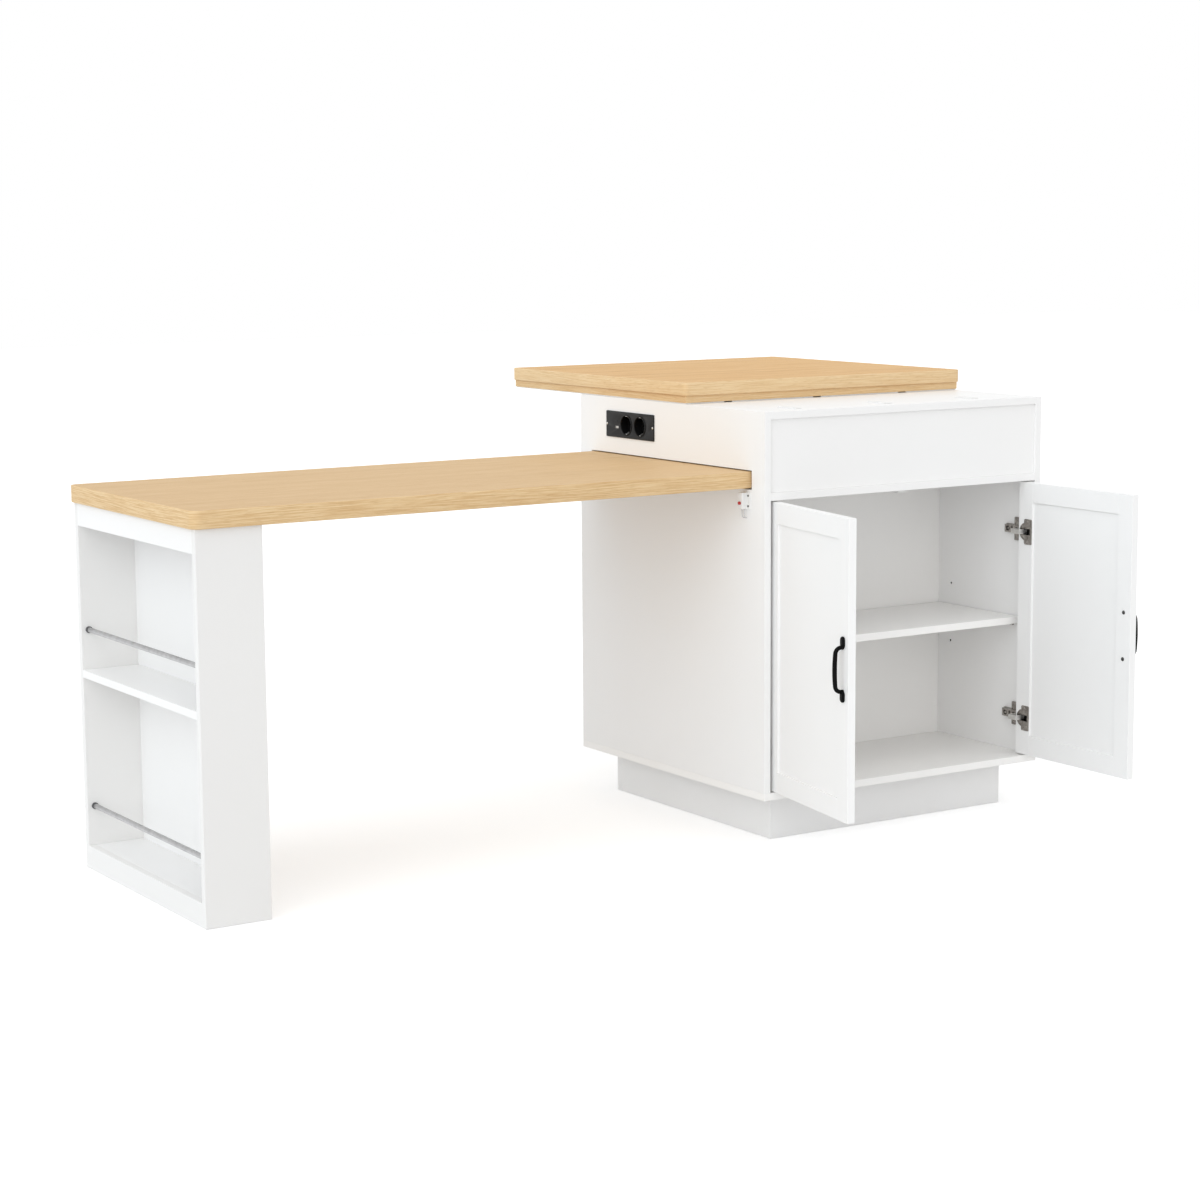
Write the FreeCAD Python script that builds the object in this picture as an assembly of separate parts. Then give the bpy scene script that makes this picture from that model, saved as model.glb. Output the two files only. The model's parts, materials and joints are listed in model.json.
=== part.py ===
import FreeCAD, Part
import math
import os

# Extendable kitchen island: a white cupboard whose oak worktop slides back and whose oak table, with a
# shelved leg at its outer end, slides out through a slot in the left side panel.
# The origin is on the floor under the middle of the plinth, +X runs to the right along the front,
# +Y runs from the front to the back and +Z is up.

# Driving dimensions, in millimetres

# Cabinet boards
cabinet_width = 720.0
cabinet_depth = 680.0
board = 15.0
board_ease = 0.6
plinth_height = 95.0
plinth_inset = 55.0
divider_height = 700.0
bay_height = 146.0
fascia_setback = 5.0
cupboard_depth = 310.0

# Shelf and its pins
shelf_height = 389.0
shelf_setback = 42.0
shelf_back_gap = 2.0
shelf_end_gap = 2.0
pin_radius = 2.5
pin_sunk = 8.0
pin_proud = 9.0
pin_collar_radius = 4.0
pin_collar = 1.5
pin_front = 62.0
pin_back = 268.0
pin_pitch = 64.0

# Doors
door_thickness = 16.0
door_gap = 3.0
door_meeting_gap = 3.0
door_frame_width = 42.0
door_panel_thickness = 8.0
left_door_angle = 100.0
right_door_angle = 90.0
door_stop_width = 22.0
door_stop_depth = 20.0
door_stop_height = 6.0
door_stop_gap = 0.5

# Concealed hinges
hinge_drop = 105.0
hinge_rise = 79.0
pivot_inset = 13.0
pivot_depth = 8.0
hinge_pin_radius = 1.5
cup_radius = 17.5
cup_depth = 12.5
cup_offset = 22.5
cup_wall = 0.8
cup_flange = 1.2
cup_rim = 1.5
cup_wing_start = -5.0
cup_wing_width = 16.0
cup_wing_height = 54.0
cup_wing_corner = 4.0
eye_radius = 3.2
arm_thickness = 5.0
arm_height = 10.0
arm_reach = 22.0
arm_bend = 22.0
arm_end = 81.0
arm_depth = 8.0
arm_body_height = 17.0
plate_thickness = 3.0
plate_start = 40.0
plate_end = 85.0
plate_height = 19.0
plate_wing_start = 46.0
plate_wing_width = 13.0
plate_wing_height = 50.0
plate_corner = 1.8

# Door handles
handle_height = 408.0
handle_inset = 20.0
handle_centres = 96.0
handle_projection = 23.0
handle_bar_radius = 4.2
handle_bend = 12.0
bow_centres = 85.0
bow_sweep = 12.0
foot_length = 23.0
foot_width = 15.0
foot_thickness = 5.0
foot_rim_share = 0.4

# Screws
wood_screw_radius = 2.0
wood_screw_length = 11.0
wood_screw_head_radius = 3.8
wood_screw_head = 1.4
machine_screw_radius = 2.0
machine_screw_head_radius = 4.2
machine_screw_head = 2.2
machine_screw_grip = 4.0
leg_screw_length = 30.0
screw_margin = 1.0
head_dome = 0.6

# Table and its way through the cabinet
table_reach = 1200.0
table_tail = 110.0
table_thickness = 33.0
table_setback = 50.0
table_corner_radius = 19.0
top_ease = 1.5
slot_side_gap = 6.0
slot_over_gap = 2.5
slot_under_gap = 3.0
runner_height = 6.7
runner_width = 25.0
runner_inset = 70.0
guide_wall = 3.0
guide_leg = 24.0
stop_block_length = 18.0
stop_block_width = 60.0
stop_block_height = 18.0
stop_block_inset = 95.0
stop_block_gap = 1.0

# Leg unit under the table's outer end
leg_end_inset = 8.0
leg_side_inset = 8.0
leg_depth = 130.0
leg_apron_height = 45.0
leg_shelf_height = 380.0
leg_kick_height = 46.0
guard_rod_radius = 5.0
guard_rod_inset = 15.0
guard_rod_rise = 78.0
rod_cup_radius = 6.5
rod_cup_length = 4.0
leg_screw_inset = 90.0

# Worktop and its glides
worktop_travel = 275.0
slab_thickness = 27.0
slab_overhang = 5.0
slab_corner_radius = 11.0
base_thickness = 15.0
pad_thickness = 2.0
pad_length = 60.0
pad_width = 17.0
pad_margin = 35.0
pad_first = 108.0
pad_pitch = 230.0
rail_foot_width = 20.0
rail_foot = 2.0
rail_stem_width = 6.0
rail_stem = 4.0
rail_head_width = 14.0
rail_head = 3.0
rail_cover = 20.0
slider_length = 50.0
slider_width = 26.0
groove_depth = 11.0
groove_end_gap = 3.0

# Socket unit on the left side panel
socket_from_back = 198.5
socket_drop = 56.75
socket_plate_length = 182.0
socket_plate_height = 55.5
socket_plate_thickness = 3.0
socket_plate_corner = 2.5
socket_plate_ease = 1.0
socket_offset = -12.8
socket_pitch = 52.0
socket_bore_radius = 19.5
socket_bore_depth = 17.5
socket_wall = 3.0
socket_floor = 4.0
contact_radius = 2.6
contact_pitch = 19.0
earth_clip_width = 5.0
earth_clip_length = 12.0
earth_clip_thickness = 1.1
housing_length = 166.0
housing_height = 50.0
housing_depth = 45.0
housing_wall = 1.6
usb_offset = 49.0
usb_drop = 6.0
usb_width = 13.1
usb_height = 5.7
usb_wall = 0.6
usb_depth = 12.0
usb_tongue = 1.8
usb_tongue_setback = 2.0
socket_screw_spacing = 174.4
socket_screw_radius = 1.5
socket_screw_length = 12.0
socket_screw_head_radius = 2.6
socket_screw_head = 1.0

# Push switch under the table's front edge
switch_setback = 58.0
switch_drop = 9.0
switch_width = 14.0
switch_height = 33.0
switch_depth = 14.0
switch_ear = 10.0
switch_ear_thickness = 2.5
switch_screw_spacing = 21.0
switch_screw_radius = 1.4
switch_screw_length = 10.0
switch_screw_head_radius = 2.4
switch_screw_head = 1.0
button_radius = 3.4
button_proud = 3.6
button_height = 12.0
button_lip = 3.0
button_collar_radius = 4.7
button_collar = 1.5
button_rim_share = 0.3
spring_wire_radius = 0.3
spring_radius = 3.0
spring_turns = 4
lead_radius = 0.9
lead_pitch = 8.0
lead_drop = 12.0
lead_bend = 6.0
lead_end = 12.0
lead_hole_radius = 1.2

# Clearances
fit_gap = 0.05
running_gap = 0.1
glide_gap = 0.3

# Places worked out from the driving dimensions
left = -cabinet_width / 2
right = cabinet_width / 2
front = -cabinet_depth / 2
back = cabinet_depth / 2
inner_left = left + board
inner_right = right - board
base_top = plinth_height + board
divider_top = divider_height + board
cabinet_top = divider_top + bay_height + board
table_bottom = divider_top + runner_height + glide_gap
table_top = table_bottom + table_thickness
table_outer = left - table_reach
table_front = front + table_setback
table_back = back - table_setback
worktop_bottom = cabinet_top + pad_thickness + glide_gap
hinge_edge = inner_left + door_gap
free_edge = -door_meeting_gap / 2
door_bottom = base_top + door_gap
door_top = divider_height - door_gap
door_inner = front + door_thickness
hinge_levels = [door_bottom + hinge_rise, door_top - hinge_drop]
pivot_x = hinge_edge + pivot_inset
pivot_y = front + pivot_depth
cup_x = hinge_edge + cup_offset
socket_y = back - socket_from_back
socket_z = cabinet_top - socket_drop
socket_face = left - socket_plate_thickness
socket_centres = [socket_y + socket_offset - socket_pitch / 2, socket_y + socket_offset + socket_pitch / 2]
switch_top = table_bottom - switch_drop
switch_bottom = switch_top - switch_height
switch_front = front + switch_setback
switch_middle = switch_front + switch_width / 2
switch_face = left - switch_depth
button_level = switch_bottom + button_height
lead_lines = [switch_middle - lead_pitch / 2, switch_middle + lead_pitch / 2]
lead_level = switch_bottom - lead_drop - lead_bend

TOLERANCE = 1e-6
X_AXIS = FreeCAD.Vector(1, 0, 0)
Y_AXIS = FreeCAD.Vector(0, 1, 0)
Z_AXIS = FreeCAD.Vector(0, 0, 1)


def point(x, y, z):
    return FreeCAD.Vector(x, y, z)


def block(x0, x1, y0, y1, z0, z1):
    """Plain box between two corners."""
    return Part.makeBox(x1 - x0, y1 - y0, z1 - z0, point(x0, y0, z0))


def eased_board(x0, x1, y0, y1, z0, z1):
    """Board with the lightly broken edges that an edge-banded panel has."""
    plain = block(x0, x1, y0, y1, z0, z1)
    return plain.makeFillet(board_ease, plain.Edges)


def edges_along(shape, axis):
    """Straight edges of a shape that run along an axis."""
    found = []
    for edge in shape.Edges:
        start = edge.Vertexes[0].Point
        end = edge.Vertexes[-1].Point
        along = end - start
        if along.Length > 0 and abs(abs(along.normalize().dot(axis)) - 1) < TOLERANCE:
            found.append(edge)
    return found


def screw(seat, direction, shank_radius, shank_length, head_radius, head_height):
    """Screw with a domed head on its seat and a shank along its direction."""
    shank = Part.makeCylinder(shank_radius, shank_length, seat, direction)
    head = Part.makeCylinder(head_radius, head_height, seat, -direction)
    rim = [edge for edge in head.Edges if (edge.CenterOfMass - seat).Length > head_height / 2]
    rounded = head.makeFillet(head_height * head_dome, [edge for edge in rim if edge.Closed])
    return rounded.fuse(shank).removeSplitter()


def screw_hole(seat, direction, shank_radius, shank_length):
    return Part.makeCylinder(shank_radius + fit_gap, shank_length + fit_gap, seat, direction)


def mirrored(shape):
    """The same piece on the right-hand side."""
    return shape.mirror(point(0, 0, 0), X_AXIS)


def save(name, *solids):
    shape = solids[0] if len(solids) == 1 else Part.makeCompound(list(solids))
    shape.exportStep("parts/" + name + ".step")


os.makedirs("parts", exist_ok=True)


# Carcass boards

def pin_places():
    """Centres of the shelf pins, front and back row, on the left panel's inner face."""
    level = shelf_height - pin_radius
    return [point(inner_left, front + pin_front, level), point(inner_left, front + pin_back, level)]


def pin_holes():
    """Holes for the pins, with spare ones above and below in the back row."""
    places = pin_places()
    spare = places[1]
    for step in (-1, 1):
        places.append(spare + Z_AXIS * (step * pin_pitch))
    return [screw_hole(place, -X_AXIS, pin_radius, pin_sunk) for place in places]


def plate_screw_places():
    """Seats of the hinge plates' screws on the plates, left side."""
    places = []
    for level in hinge_levels:
        for side in (-1, 1):
            offset = side * (plate_wing_height / 2 - wood_screw_head_radius - screw_margin)
            across = front + plate_wing_start + plate_wing_width / 2
            places.append(point(inner_left + plate_thickness, across, level + offset))
    return places


def table_slot():
    return block(
        left - board, inner_left + board,
        table_front - slot_side_gap, table_back + slot_side_gap,
        table_bottom - slot_under_gap, table_top + slot_over_gap)


def socket_cut_out():
    half_length = housing_length / 2 + running_gap
    half_height = housing_height / 2 + running_gap
    return block(
        left - board, inner_left + board, socket_y - half_length, socket_y + half_length,
        socket_z - half_height, socket_z + half_height)


def socket_screw_places():
    half = socket_screw_spacing / 2
    return [point(socket_face, socket_y - half, socket_z), point(socket_face, socket_y + half, socket_z)]


def switch_screw_places():
    seat_x = left - switch_ear_thickness
    seat_y = switch_front - switch_ear / 2
    middle = (switch_top + switch_bottom) / 2
    half = switch_screw_spacing / 2
    return [point(seat_x, seat_y, middle - half), point(seat_x, seat_y, middle + half)]


def side_panel():
    """Side panel with the pin and hinge screw holes, for the left side."""
    panel = eased_board(left, inner_left, front, back, base_top, cabinet_top)
    holes = pin_holes()
    for seat in plate_screw_places():
        holes.append(screw_hole(seat, -X_AXIS, wood_screw_radius, wood_screw_length))
    return panel.cut(holes)


def left_side_panel():
    """Left panel with the table's slot, the socket's cut-out and the switch's holes."""
    cuts = [table_slot(), socket_cut_out()]
    for seat in socket_screw_places():
        cuts.append(screw_hole(seat, X_AXIS, socket_screw_radius, socket_screw_length))
    for seat in switch_screw_places():
        cuts.append(screw_hole(seat, X_AXIS, switch_screw_radius, switch_screw_length))
    for line in lead_lines:
        cuts.append(Part.makeCylinder(lead_hole_radius, board, point(left, line, lead_level), X_AXIS))
    return side_panel().cut(cuts)


save("bottom_panel", eased_board(left, right, front, back, plinth_height, base_top))
save("side_panel_left", left_side_panel())
save("side_panel_right", mirrored(side_panel()))
save("top_panel", eased_board(inner_left, inner_right, front, back, cabinet_top - board, cabinet_top))
save("divider_panel", eased_board(inner_left, inner_right, front, back - board, divider_height, divider_top))
save("back_panel", eased_board(inner_left, inner_right, back - board, back, base_top, cabinet_top - board))
save("cupboard_back", eased_board(
    inner_left, inner_right, front + cupboard_depth, front + cupboard_depth + board,
    base_top, divider_height))
save("fascia_panel", eased_board(
    inner_left, inner_right, front + fascia_setback, front + fascia_setback + board,
    divider_top, cabinet_top - board))


# Plinth

plinth_left = left + plinth_inset
plinth_right = right - plinth_inset
plinth_front = front + plinth_inset
plinth_back = back - plinth_inset
side_front = plinth_front + board
side_back = plinth_back - board
save("plinth_front", eased_board(plinth_left, plinth_right, plinth_front, side_front, 0, plinth_height))
save("plinth_back", eased_board(plinth_left, plinth_right, side_back, plinth_back, 0, plinth_height))
plinth_side = eased_board(plinth_left, plinth_left + board, side_front, side_back, 0, plinth_height)
save("plinth_sides", plinth_side, mirrored(plinth_side))
save("plinth_cross_rail", eased_board(-board / 2, board / 2, side_front, side_back, 0, plinth_height))


# Shelf on its pins

def shelf_pin(place):
    sunk = Part.makeCylinder(pin_radius, pin_sunk, place, -X_AXIS)
    proud = Part.makeCylinder(pin_radius, pin_proud, place, X_AXIS)
    collar = Part.makeCylinder(pin_collar_radius, pin_collar, place, X_AXIS)
    return sunk.fuse([proud, collar]).removeSplitter()


save("shelf", eased_board(
    inner_left + shelf_end_gap, inner_right - shelf_end_gap, front + shelf_setback,
    front + cupboard_depth - shelf_back_gap, shelf_height, shelf_height + board))
left_pins = [shelf_pin(place) for place in pin_places()]
save("shelf_pins", *left_pins, *[mirrored(pin) for pin in left_pins])


# Stop that the closed doors meet

stop_front = door_inner + door_stop_gap
save("door_stop", eased_board(
    -door_stop_width / 2, door_stop_width / 2, stop_front, stop_front + door_stop_depth,
    divider_height - door_stop_height, divider_height))


# Fixed half of the hinges: plates on the side panels, and arms whose swan neck ends in an eye

def hinge_plate(level):
    strip = block(
        inner_left, inner_left + plate_thickness, front + plate_start, front + plate_end,
        level - plate_height / 2, level + plate_height / 2)
    wings = block(
        inner_left, inner_left + plate_thickness, front + plate_wing_start,
        front + plate_wing_start + plate_wing_width,
        level - plate_wing_height / 2, level + plate_wing_height / 2)
    plate = strip.fuse(wings).removeSplitter()
    plate = plate.makeFillet(plate_corner, edges_along(plate, X_AXIS))
    holes = []
    for seat in plate_screw_places():
        start = seat - X_AXIS * plate_thickness
        holes.append(screw_hole(start, X_AXIS, wood_screw_radius, plate_thickness))
    return plate.cut(holes)


def hinge_arm(level):
    low = level - arm_height / 2
    high = level + arm_height / 2
    half = arm_thickness / 2
    elbow = pivot_x + arm_reach
    bend = pivot_y + arm_bend
    seat = inner_left + plate_thickness
    eye = Part.makeCylinder(eye_radius, arm_height, point(pivot_x, pivot_y, low), Z_AXIS)
    inward = block(pivot_x, elbow, pivot_y - half, pivot_y + half, low, high)
    outward = block(elbow - arm_thickness, elbow, pivot_y - half, bend, low, high)
    across = block(seat, elbow, bend - arm_thickness, bend, low, high)
    body = block(
        seat, seat + arm_depth, bend, front + arm_end, level - arm_body_height / 2, level + arm_body_height / 2)
    arm = eye.fuse([inward, outward, across, body]).removeSplitter()
    bore = Part.makeCylinder(
        hinge_pin_radius + fit_gap, arm_height, point(pivot_x, pivot_y, low), Z_AXIS)
    return arm.cut(bore)


left_plates = [hinge_plate(level) for level in hinge_levels]
left_arms = [hinge_arm(level) for level in hinge_levels]
left_screws = [
    screw(seat, -X_AXIS, wood_screw_radius, wood_screw_length, wood_screw_head_radius, wood_screw_head)
    for seat in plate_screw_places()]
save("hinge_plates", *left_plates, *[mirrored(plate) for plate in left_plates])
save("hinge_arms", *left_arms, *[mirrored(arm) for arm in left_arms])
save("hinge_screws", *left_screws, *[mirrored(item) for item in left_screws])


# Doors: stiles, rails and panel, hinge cups with pins, bow handle and screws.
# Each is modelled closed on the left, mirrored for the right, and turned open about its pivot.

def cup_screw_places():
    places = []
    for level in hinge_levels:
        for side in (-1, 1):
            offset = side * (cup_wing_height / 2 - wood_screw_head_radius - screw_margin)
            across = cup_x + cup_wing_start + cup_wing_width / 2
            places.append(point(across, door_inner + cup_flange, level + offset))
    return places


handle_x = free_edge - handle_inset
handle_feet = [handle_height - handle_centres / 2, handle_height + handle_centres / 2]
handle_screw_places = [point(handle_x, door_inner, level) for level in handle_feet]


def stiles():
    hinge_stile = eased_board(
        hinge_edge, hinge_edge + door_frame_width, front, door_inner, door_bottom, door_top)
    bores = []
    for level in hinge_levels:
        bottom = point(cup_x, door_inner - cup_depth, level)
        bores.append(Part.makeCylinder(cup_radius, door_thickness, bottom, Y_AXIS))
    for seat in cup_screw_places():
        bores.append(screw_hole(seat, -Y_AXIS, wood_screw_radius, wood_screw_length))
    free_stile = eased_board(
        free_edge - door_frame_width, free_edge, front, door_inner, door_bottom, door_top)
    holes = []
    for seat in handle_screw_places:
        holes.append(screw_hole(seat, -Y_AXIS, machine_screw_radius, door_thickness))
    return [hinge_stile.cut(bores), free_stile.cut(holes)]


def rails():
    start = hinge_edge + door_frame_width
    end = free_edge - door_frame_width
    low = eased_board(start, end, front, door_inner, door_bottom, door_bottom + door_frame_width)
    high = eased_board(start, end, front, door_inner, door_top - door_frame_width, door_top)
    return [low, high]


def door_panel():
    recess = (door_thickness - door_panel_thickness) / 2
    return [block(
        hinge_edge + door_frame_width, free_edge - door_frame_width, front + recess, door_inner - recess,
        door_bottom + door_frame_width, door_top - door_frame_width)]


def hinge_cup(level):
    """Drawn cup in its bore, with a winged flange on the door's inner face."""
    outer = cup_radius - fit_gap
    inner = outer - cup_wall
    bottom = point(cup_x, door_inner - cup_depth, level)
    shell = Part.makeCylinder(outer, cup_depth + cup_flange, bottom, Y_AXIS)
    face = point(cup_x, door_inner, level)
    ring = Part.makeCylinder(cup_radius + cup_rim, cup_flange, face, Y_AXIS)
    wings = block(
        cup_x + cup_wing_start, cup_x + cup_wing_start + cup_wing_width, door_inner, door_inner + cup_flange,
        level - cup_wing_height / 2, level + cup_wing_height / 2)
    wings = wings.makeFillet(cup_wing_corner, edges_along(wings, Y_AXIS))
    hollow = Part.makeCylinder(inner, cup_depth + cup_flange, bottom + Y_AXIS * cup_wall, Y_AXIS)
    cup = shell.fuse([ring, wings]).removeSplitter().cut(hollow)
    holes = []
    for seat in cup_screw_places():
        holes.append(screw_hole(seat, -Y_AXIS, wood_screw_radius, cup_flange))
    return cup.cut(holes)


def hinge_pin(level):
    """Pin across the cup, cut to the cup's inside."""
    inner = cup_radius - fit_gap - cup_wall
    start = point(pivot_x, pivot_y, level - cup_radius)
    pin = Part.makeCylinder(hinge_pin_radius, 2 * cup_radius, start, Z_AXIS)
    bottom = point(cup_x, door_inner - cup_depth, level)
    return pin.common(Part.makeCylinder(inner, cup_depth, bottom, Y_AXIS))


def handle_bow():
    """Round bar that leaves the feet squarely, bends over and bows out along the stile."""
    sweep = math.radians(bow_sweep)
    half = bow_centres / 2
    crest = front - handle_projection + handle_bar_radius
    grip_end = half - handle_bend * (1 - math.sin(sweep))
    grip_radius = grip_end / math.sin(sweep)
    shoulder = crest + grip_radius * (1 - math.cos(sweep))
    rise = shoulder + handle_bend * math.cos(sweep)
    half_turn = (math.pi / 2 - sweep) / 2
    bend_y = rise - handle_bend * math.sin(half_turn)
    bend_z = half - handle_bend * (1 - math.cos(half_turn))

    def spot(y, offset):
        return point(handle_x, y, handle_height + offset)

    path = Part.Wire([
        Part.LineSegment(spot(front, -half), spot(rise, -half)).toShape(),
        Part.Arc(spot(rise, -half), spot(bend_y, -bend_z), spot(shoulder, -grip_end)).toShape(),
        Part.Arc(spot(shoulder, -grip_end), spot(crest, 0), spot(shoulder, grip_end)).toShape(),
        Part.Arc(spot(shoulder, grip_end), spot(bend_y, bend_z), spot(rise, half)).toShape(),
        Part.LineSegment(spot(rise, half), spot(front, half)).toShape()])
    section = Part.Wire(Part.Circle(spot(front, -half), Y_AXIS, handle_bar_radius).toShape())
    return path.makePipeShell([section], True, False)


def handle_foot(level, side):
    """Flat round-ended foot that runs on past the bow."""
    half = foot_width / 2
    far = level + side * (foot_length - foot_width)

    def spot(across, z):
        return point(handle_x + across, front, z)

    outline = Part.Wire([
        Part.LineSegment(spot(half, level), spot(half, far)).toShape(),
        Part.Arc(spot(half, far), spot(0, far + side * half), spot(-half, far)).toShape(),
        Part.LineSegment(spot(-half, far), spot(-half, level)).toShape(),
        Part.Arc(spot(-half, level), spot(0, level - side * half), spot(half, level)).toShape()])
    foot = Part.Face(outline).extrude(-Y_AXIS * foot_thickness)
    rim = [edge for edge in foot.Edges if edge.BoundBox.YMax < front - foot_thickness / 2]
    return foot.makeFillet(foot_thickness * foot_rim_share, rim)


def handle():
    low, high = handle_feet
    casting = handle_bow().fuse([handle_foot(low, -1), handle_foot(high, 1)]).removeSplitter()
    bores = []
    for level in handle_feet:
        seat = point(handle_x, front, level)
        bores.append(screw_hole(seat, -Y_AXIS, machine_screw_radius, machine_screw_grip))
    return casting.cut(bores)


def door_screws():
    screws = []
    for seat in cup_screw_places():
        screws.append(screw(
            seat, -Y_AXIS, wood_screw_radius, wood_screw_length, wood_screw_head_radius, wood_screw_head))
    for seat in handle_screw_places:
        length = door_thickness + machine_screw_grip
        screws.append(screw(
            seat, -Y_AXIS, machine_screw_radius, length, machine_screw_head_radius, machine_screw_head))
    return screws


cups_and_pins = [hinge_cup(level) for level in hinge_levels] + [hinge_pin(level) for level in hinge_levels]
door_pieces = {
    "stiles": stiles(),
    "rails": rails(),
    "panel": door_panel(),
    "handle": [handle()],
    "hinge_cups": cups_and_pins,
    "screws": door_screws()}
left_pivot = point(pivot_x, pivot_y, 0)
right_pivot = point(-pivot_x, pivot_y, 0)
for piece_name, pieces in door_pieces.items():
    opened_left = [piece.rotated(left_pivot, Z_AXIS, -left_door_angle) for piece in pieces]
    opened_right = [mirrored(piece).rotated(right_pivot, Z_AXIS, right_door_angle) for piece in pieces]
    save("door_left_" + piece_name, *opened_left)
    save("door_right_" + piece_name, *opened_right)


# Table that slides through the left panel on two runners, between two guides

def rounded_top(x0, x1, y0, y1, z0, z1, radius, corners):
    """Slab with the given plan corners rounded and its edges lightly eased."""
    slab = block(x0, x1, y0, y1, z0, z1)
    uprights = [edge for edge in edges_along(slab, Z_AXIS) if corners(edge.CenterOfMass)]
    slab = slab.makeFillet(radius, uprights)
    rims = [edge for edge in slab.Edges if abs(edge.BoundBox.ZLength) < TOLERANCE]
    return slab.makeFillet(top_ease, rims)


def leg_screw_places():
    seat_x = table_outer + leg_end_inset + leg_depth / 2
    low = table_bottom - board
    rows = [table_front + leg_screw_inset, table_back - leg_screw_inset]
    return [point(seat_x, row, low) for row in rows]


slab = rounded_top(
    table_outer, left + table_tail, table_front, table_back, table_bottom, table_top,
    table_corner_radius, lambda place: place.x < left)
leg_screw_holes = [
    screw_hole(seat, Z_AXIS, wood_screw_radius, leg_screw_length) for seat in leg_screw_places()]
save("table_top", slab.cut(leg_screw_holes))

stop_start = inner_left + stop_block_gap
stop_blocks = []
for stop_low in (table_front + stop_block_inset, table_back - stop_block_inset - stop_block_width):
    stop_blocks.append(eased_board(
        stop_start, stop_start + stop_block_length, stop_low, stop_low + stop_block_width,
        table_top, table_top + stop_block_height))
save("table_stops", *stop_blocks)

runners = []
for runner_low in (table_front + runner_inset, table_back - runner_inset - runner_width):
    runners.append(eased_board(
        inner_left, inner_right, runner_low, runner_low + runner_width,
        divider_top, divider_top + runner_height))
save("table_runners", *runners)


def table_guide(edge, outward):
    """Angle strip beside one long edge of the table."""
    near = edge + outward * glide_gap
    far = near + outward * guide_leg
    wall = near + outward * guide_wall
    upright = block(
        inner_left, inner_right, min(near, wall), max(near, wall), divider_top, divider_top + guide_leg)
    flat = block(
        inner_left, inner_right, min(near, far), max(near, far), divider_top, divider_top + guide_wall)
    return upright.fuse(flat).removeSplitter()


save("table_guides", table_guide(table_front, -1), table_guide(table_back, 1))


# Leg unit: an open shelf case that stands under the table's outer end

leg_outer = table_outer + leg_end_inset
leg_inner = leg_outer + leg_depth
leg_front = table_front + leg_side_inset
leg_back = table_back - leg_side_inset
case_front = leg_front + board
case_back = leg_back - board
case_outer = leg_outer + board
case_inner = leg_inner - board
save(
    "leg_sides",
    eased_board(leg_outer, leg_inner, leg_front, case_front, 0, table_bottom),
    eased_board(leg_outer, leg_inner, case_back, leg_back, 0, table_bottom))
save("leg_back_panel", eased_board(case_inner, leg_inner, case_front, case_back, 0, table_bottom))
save("leg_apron", eased_board(
    leg_outer, case_outer, case_front, case_back, table_bottom - leg_apron_height, table_bottom))
save("leg_kick_board", eased_board(leg_outer, case_outer, case_front, case_back, 0, leg_kick_height))
save("leg_bottom_shelf", eased_board(
    case_outer, case_inner, case_front, case_back, leg_kick_height - board, leg_kick_height))
save("leg_shelf", eased_board(
    leg_outer, case_inner, case_front, case_back, leg_shelf_height, leg_shelf_height + board))
leg_top = eased_board(case_outer, case_inner, case_front, case_back, table_bottom - board, table_bottom)
save("leg_top_board", leg_top.cut(leg_screw_holes))
save("leg_screws", *[
    screw(seat, Z_AXIS, wood_screw_radius, leg_screw_length, wood_screw_head_radius, wood_screw_head)
    for seat in leg_screw_places()])


# Guard rods across the open side of the leg, held in flanged cups

rods = []
rod_cups = []
for floor_level in (leg_kick_height, leg_shelf_height + board):
    rod_start = point(leg_outer + guard_rod_inset, case_front, floor_level + guard_rod_rise)
    rod_end = point(leg_outer + guard_rod_inset, case_back, floor_level + guard_rod_rise)
    rods.append(Part.makeCylinder(guard_rod_radius, case_back - case_front, rod_start, Y_AXIS))
    for seat, inward in ((rod_start, Y_AXIS), (rod_end, -Y_AXIS)):
        ring = Part.makeCylinder(rod_cup_radius, rod_cup_length, seat, inward)
        rod_cups.append(ring.cut(Part.makeCylinder(guard_rod_radius + fit_gap, rod_cup_length, seat, inward)))
save("guard_rods", *rods)
save("rod_cups", *rod_cups)


# Worktop: an oak slab on an oak base, slid back on two rails

base_front = front + worktop_travel
base_back = back + worktop_travel
base_top_face = worktop_bottom + base_thickness
groove_top = worktop_bottom + groove_depth
rail_front = base_front + rail_cover
rail_back = back - rail_cover
rail_lines = [left + pad_first + pad_pitch * (line + 0.5) for line in range(2)]
save("worktop_slab", rounded_top(
    left - slab_overhang, right + slab_overhang, base_front - slab_overhang, base_back + slab_overhang,
    base_top_face, base_top_face + slab_thickness, slab_corner_radius, lambda place: True))
grooves = [
    block(line - slider_width / 2 - fit_gap, line + slider_width / 2 + fit_gap,
          rail_front - groove_end_gap, rail_back + worktop_travel + groove_end_gap,
          worktop_bottom - board, groove_top)
    for line in rail_lines]
base = eased_board(left, right, base_front, base_back, worktop_bottom, base_top_face)
save("worktop_base", base.cut(grooves))


def worktop_rail(line):
    """T-shaped rail on the cabinet's top."""
    foot_top = cabinet_top + rail_foot
    stem_top = foot_top + rail_stem
    layers = [
        (rail_foot_width, cabinet_top, foot_top),
        (rail_stem_width, foot_top, stem_top),
        (rail_head_width, stem_top, stem_top + rail_head)]
    solids = [
        block(line - width / 2, line + width / 2, rail_front, rail_back, low, high)
        for width, low, high in layers]
    return solids[0].fuse(solids[1:]).removeSplitter()


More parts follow.
